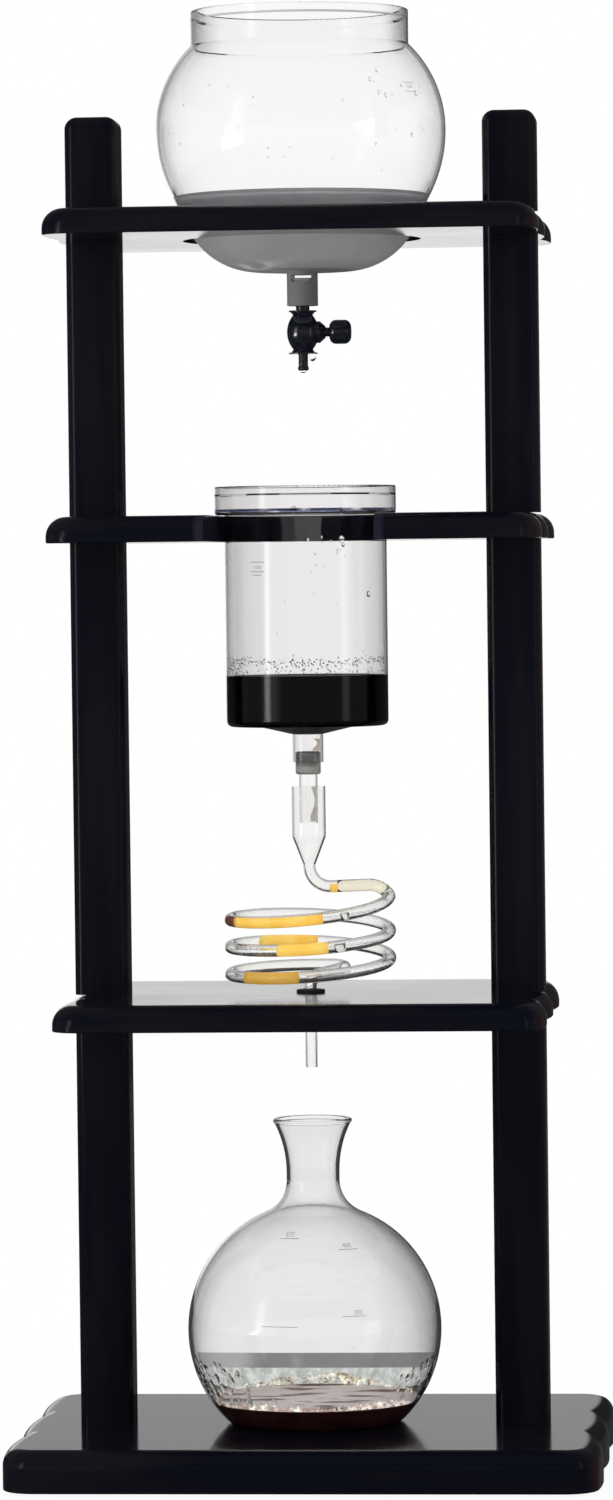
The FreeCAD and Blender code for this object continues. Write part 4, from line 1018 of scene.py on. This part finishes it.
def add_number(bm, node, turn, height, text, size):
    """A plain number as a mesh, its size in millimetres."""
    words = bpy.data.curves.new("number", "FONT")
    words.body = text
    words.size = size * MM
    words.align_x = "CENTER"
    words.resolution_u = 2
    holder = bpy.data.objects.new("number", words)
    mesh = bpy.data.meshes.new_from_object(holder)
    before = len(bm.verts)
    bm.from_mesh(mesh)
    bm.verts.ensure_lookup_table()
    bpy.data.objects.remove(holder)
    lay_on(bm, bm.verts[before:], node, turn, height)


bm = bmesh.new()
add_number(bm, "flask", -17.9, 156.0, "500", 4.2)
add_line(bm, "flask", -17.9, 155.0, 13.0, 0.45)
add_number(bm, "flask", 21.6, 149.2, "400", 4.2)
add_line(bm, "flask", 21.6, 148.2, 13.0, 0.45)
add_number(bm, "flask", 20.2, 108.2, "300", 4.2)
add_line(bm, "flask", 18.2, 107.2, 16.0, 0.45)
add_line(bm, "flask", -16.0, 101.0, 24.0, 0.5)
new_piece("flask_marks", bm, mark_print, "flask", smooth=False)
bm = bmesh.new()
add_line(bm, "coffee_chamber", -36.5, 594.5, 11.0, 0.5)
add_number(bm, "coffee_chamber", -36.5, 590.0, "1000", 3.4)
add_line(bm, "coffee_chamber", -36.5, 588.3, 11.0, 0.5)
add_line(bm, "coffee_chamber", -36.5, 586.0, 7.0, 0.5)
new_piece("chamber_marks", bm, mark_print, "chamber", smooth=False)
bm = bmesh.new()
add_number(bm, "water_bowl", 50.5, 899.0, "1500", 3.4)
add_line(bm, "water_bowl", 50.5, 896.8, 9.0, 0.4)
add_line(bm, "water_bowl", 50.5, 902.6, 11.0, 0.4)
new_piece("bowl_marks", bm, mark_print, "bowl", smooth=False)

# %% [markdown]
# ## Stage, light and camera
# A long lens stands four metres away, a little to the right and above the middle of the
# tower. The room gives plain pale light from all round, and two soft boxes model the solid
# surfaces. What gloss mirrors is painted in the world by direction: a white backdrop
# straight behind the tower, one tall soft light at the front left and a weak one at the
# front right, and a dim room elsewhere. Glass is looked through onto white on every side.

# %% Stage
CAMERA_PLACE = Vector((0.353, -4.087, 0.592))
CAMERA_YAW = math.radians(4.95)
CAMERA_PITCH = math.radians(1.69)
CAMERA_ROLL = math.radians(-0.69)
CAMERA_LENS = 150.1

camera_data = bpy.data.cameras.new("camera")
camera_data.lens = CAMERA_LENS
camera_data.sensor_width = 36.0
camera_data.clip_end = 50.0
camera = bpy.data.objects.new("camera", camera_data)
aim = Vector((
    -math.sin(CAMERA_YAW) * math.cos(CAMERA_PITCH),
    math.cos(CAMERA_YAW) * math.cos(CAMERA_PITCH),
    -math.sin(CAMERA_PITCH),
))
camera.rotation_mode = "QUATERNION"
camera.rotation_quaternion = aim.to_track_quat("-Z", "Y") @ Quaternion((0, 0, 1), CAMERA_ROLL)
camera.location = CAMERA_PLACE
bpy.context.scene.collection.objects.link(camera)
bpy.context.scene.camera = camera


def soft_box(name, place, look_at, width, height, power):
    """A rectangular lamp turned towards a point; gloss and glass don't see it."""
    data = bpy.data.lights.new(name, "AREA")
    data.shape = "RECTANGLE"
    data.size = width
    data.size_y = height
    data.energy = power
    lamp = bpy.data.objects.new(name, data)
    lamp.location = place
    lamp.rotation_euler = (Vector(look_at) - Vector(place)).to_track_quat("-Z", "Y").to_euler()
    lamp.visible_glossy = False
    lamp.visible_transmission = False
    bpy.context.scene.collection.objects.link(lamp)


soft_box("tall_soft_box", (-2.2, -1.3, 0.9), (0, 0, 0.5), 0.5, 1.8, 14.0)
soft_box("fill_soft_box", (2.4, -2.2, 1.4), (0, 0, 0.5), 1.0, 1.2, 8.0)


def sight(pen, name):
    """1 for that kind of ray, by the name of the Light Path output."""
    node = pen.tree.nodes.new("ShaderNodeLightPath")
    return Shade(pen.tree, node.outputs[name])


def straight_sight(pen):
    """1 where the backdrop is seen directly or straight through glass."""
    unmirrored = sight(pen, "Glossy Depth").between(0.9, 0.1)
    return pen.math("MAXIMUM", sight(pen, "Is Camera Ray"), sight(pen, "Is Transmission Ray") * unmirrored)


def mirror_sight(pen):
    """1 where it is seen in a mirroring surface, also through glass."""
    seen = pen.math("MAXIMUM", sight(pen, "Is Glossy Ray"), sight(pen, "Is Transmission Ray"))
    return seen * (1 - straight_sight(pen))


# %% Room
ROOM_LIGHT = 0.75
DEGREE = math.pi / 180

world = bpy.data.worlds.new("studio")
world.use_nodes = True
world.node_tree.nodes.clear()
pen = Shade(world.node_tree)
way = pen.add("ShaderNodeTexCoord", output=0)
across, back, up = [pen.add("ShaderNodeSeparateXYZ", {0: way}, output=axis) for axis in range(3)]
turn = pen.math("ARCTAN2", across, back)

behind = turn.band(-20 * DEGREE, -2 * DEGREE, 4 * DEGREE)
eye_level = 1.15 * behind * up.band(-0.10, 0.06, 0.05) * (1 - 0.35 * up.between(0.05, 0.16))
backdrop = eye_level + behind * up.band(0.11, 0.30, 0.05) * 0.6

high = up.between(-0.03, 0.08)
left_turn = (turn + high * 6 * DEGREE).band(-127.5 * DEGREE, -125.5 * DEGREE, 6 * DEGREE)
left_light = left_turn * up.band(-0.02, 0.35, 0.22)
left_glow = turn.band(-136 * DEGREE, -126 * DEGREE, 14 * DEGREE) * up.band(-0.12, 0.45, 0.16)
right_light = turn.band(116 * DEGREE, 121 * DEGREE, 6 * DEGREE) * up.band(-0.3, 0.4, 0.2)
low_lamp = turn.band(-135 * DEGREE, -121 * DEGREE, 4 * DEGREE) * up.band(-0.34, -0.12, 0.05)
lamps = low_lamp * 20.0 + left_light * (3.4 - 1.6 * high) + left_glow * 0.5 + right_light * 0.5

low_band = up.band(-0.16, 0.16, 0.1) * turn.absolute().between(60 * DEGREE, 75 * DEGREE)
through = sight(pen, "Is Transmission Ray")
in_glass = through * across.between(0.3, -0.3) * 0.10 + through * 0.38
dim_room = 0.03 + 0.12 * low_band + 0.08 * up.between(0.1, 0.6) + in_glass
mirrored = pen.math("MAXIMUM", backdrop, dim_room) + lamps * (1 - 0.7 * through)

straight = straight_sight(pen)
glossy = mirror_sight(pen)
strength = straight + glossy * mirrored + (1 - straight - glossy) * ROOM_LIGHT
light = pen.add("ShaderNodeBackground", {"Color": colour(1, 1, 1), "Strength": strength})
pen.add("ShaderNodeOutputWorld", {"Surface": light})
bpy.context.scene.world = world

# %% Floor
floor_material = bpy.data.materials.new("floor")
floor_material.use_nodes = True
floor_material.node_tree.nodes.clear()
pen = Shade(floor_material.node_tree)
paint = pen.add("ShaderNodeBsdfDiffuse", {"Color": colour(0.9, 0.9, 0.9)})
mirrored = mirror_sight(pen)
glow = pen.add("ShaderNodeEmission", {"Color": colour(1, 1, 1), "Strength": 1.033 - 0.973 * mirrored})
share = straight_sight(pen) * 0.9 + mirrored
mixed = pen.add("ShaderNodeMixShader", {0: share, 1: paint, 2: glow})
pen.add("ShaderNodeOutputMaterial", {"Surface": mixed})
bm = bmesh.new()
bmesh.ops.create_grid(bm, x_segments=1, y_segments=1, size=3.0)
floor_mesh = bpy.data.meshes.new("floor")
bm.to_mesh(floor_mesh)
bm.free()
floor_mesh.materials.append(floor_material)
floor = bpy.data.objects.new("floor", floor_mesh)
bpy.context.scene.collection.objects.link(floor)
bpy.context.scene.view_settings.view_transform = "Standard"
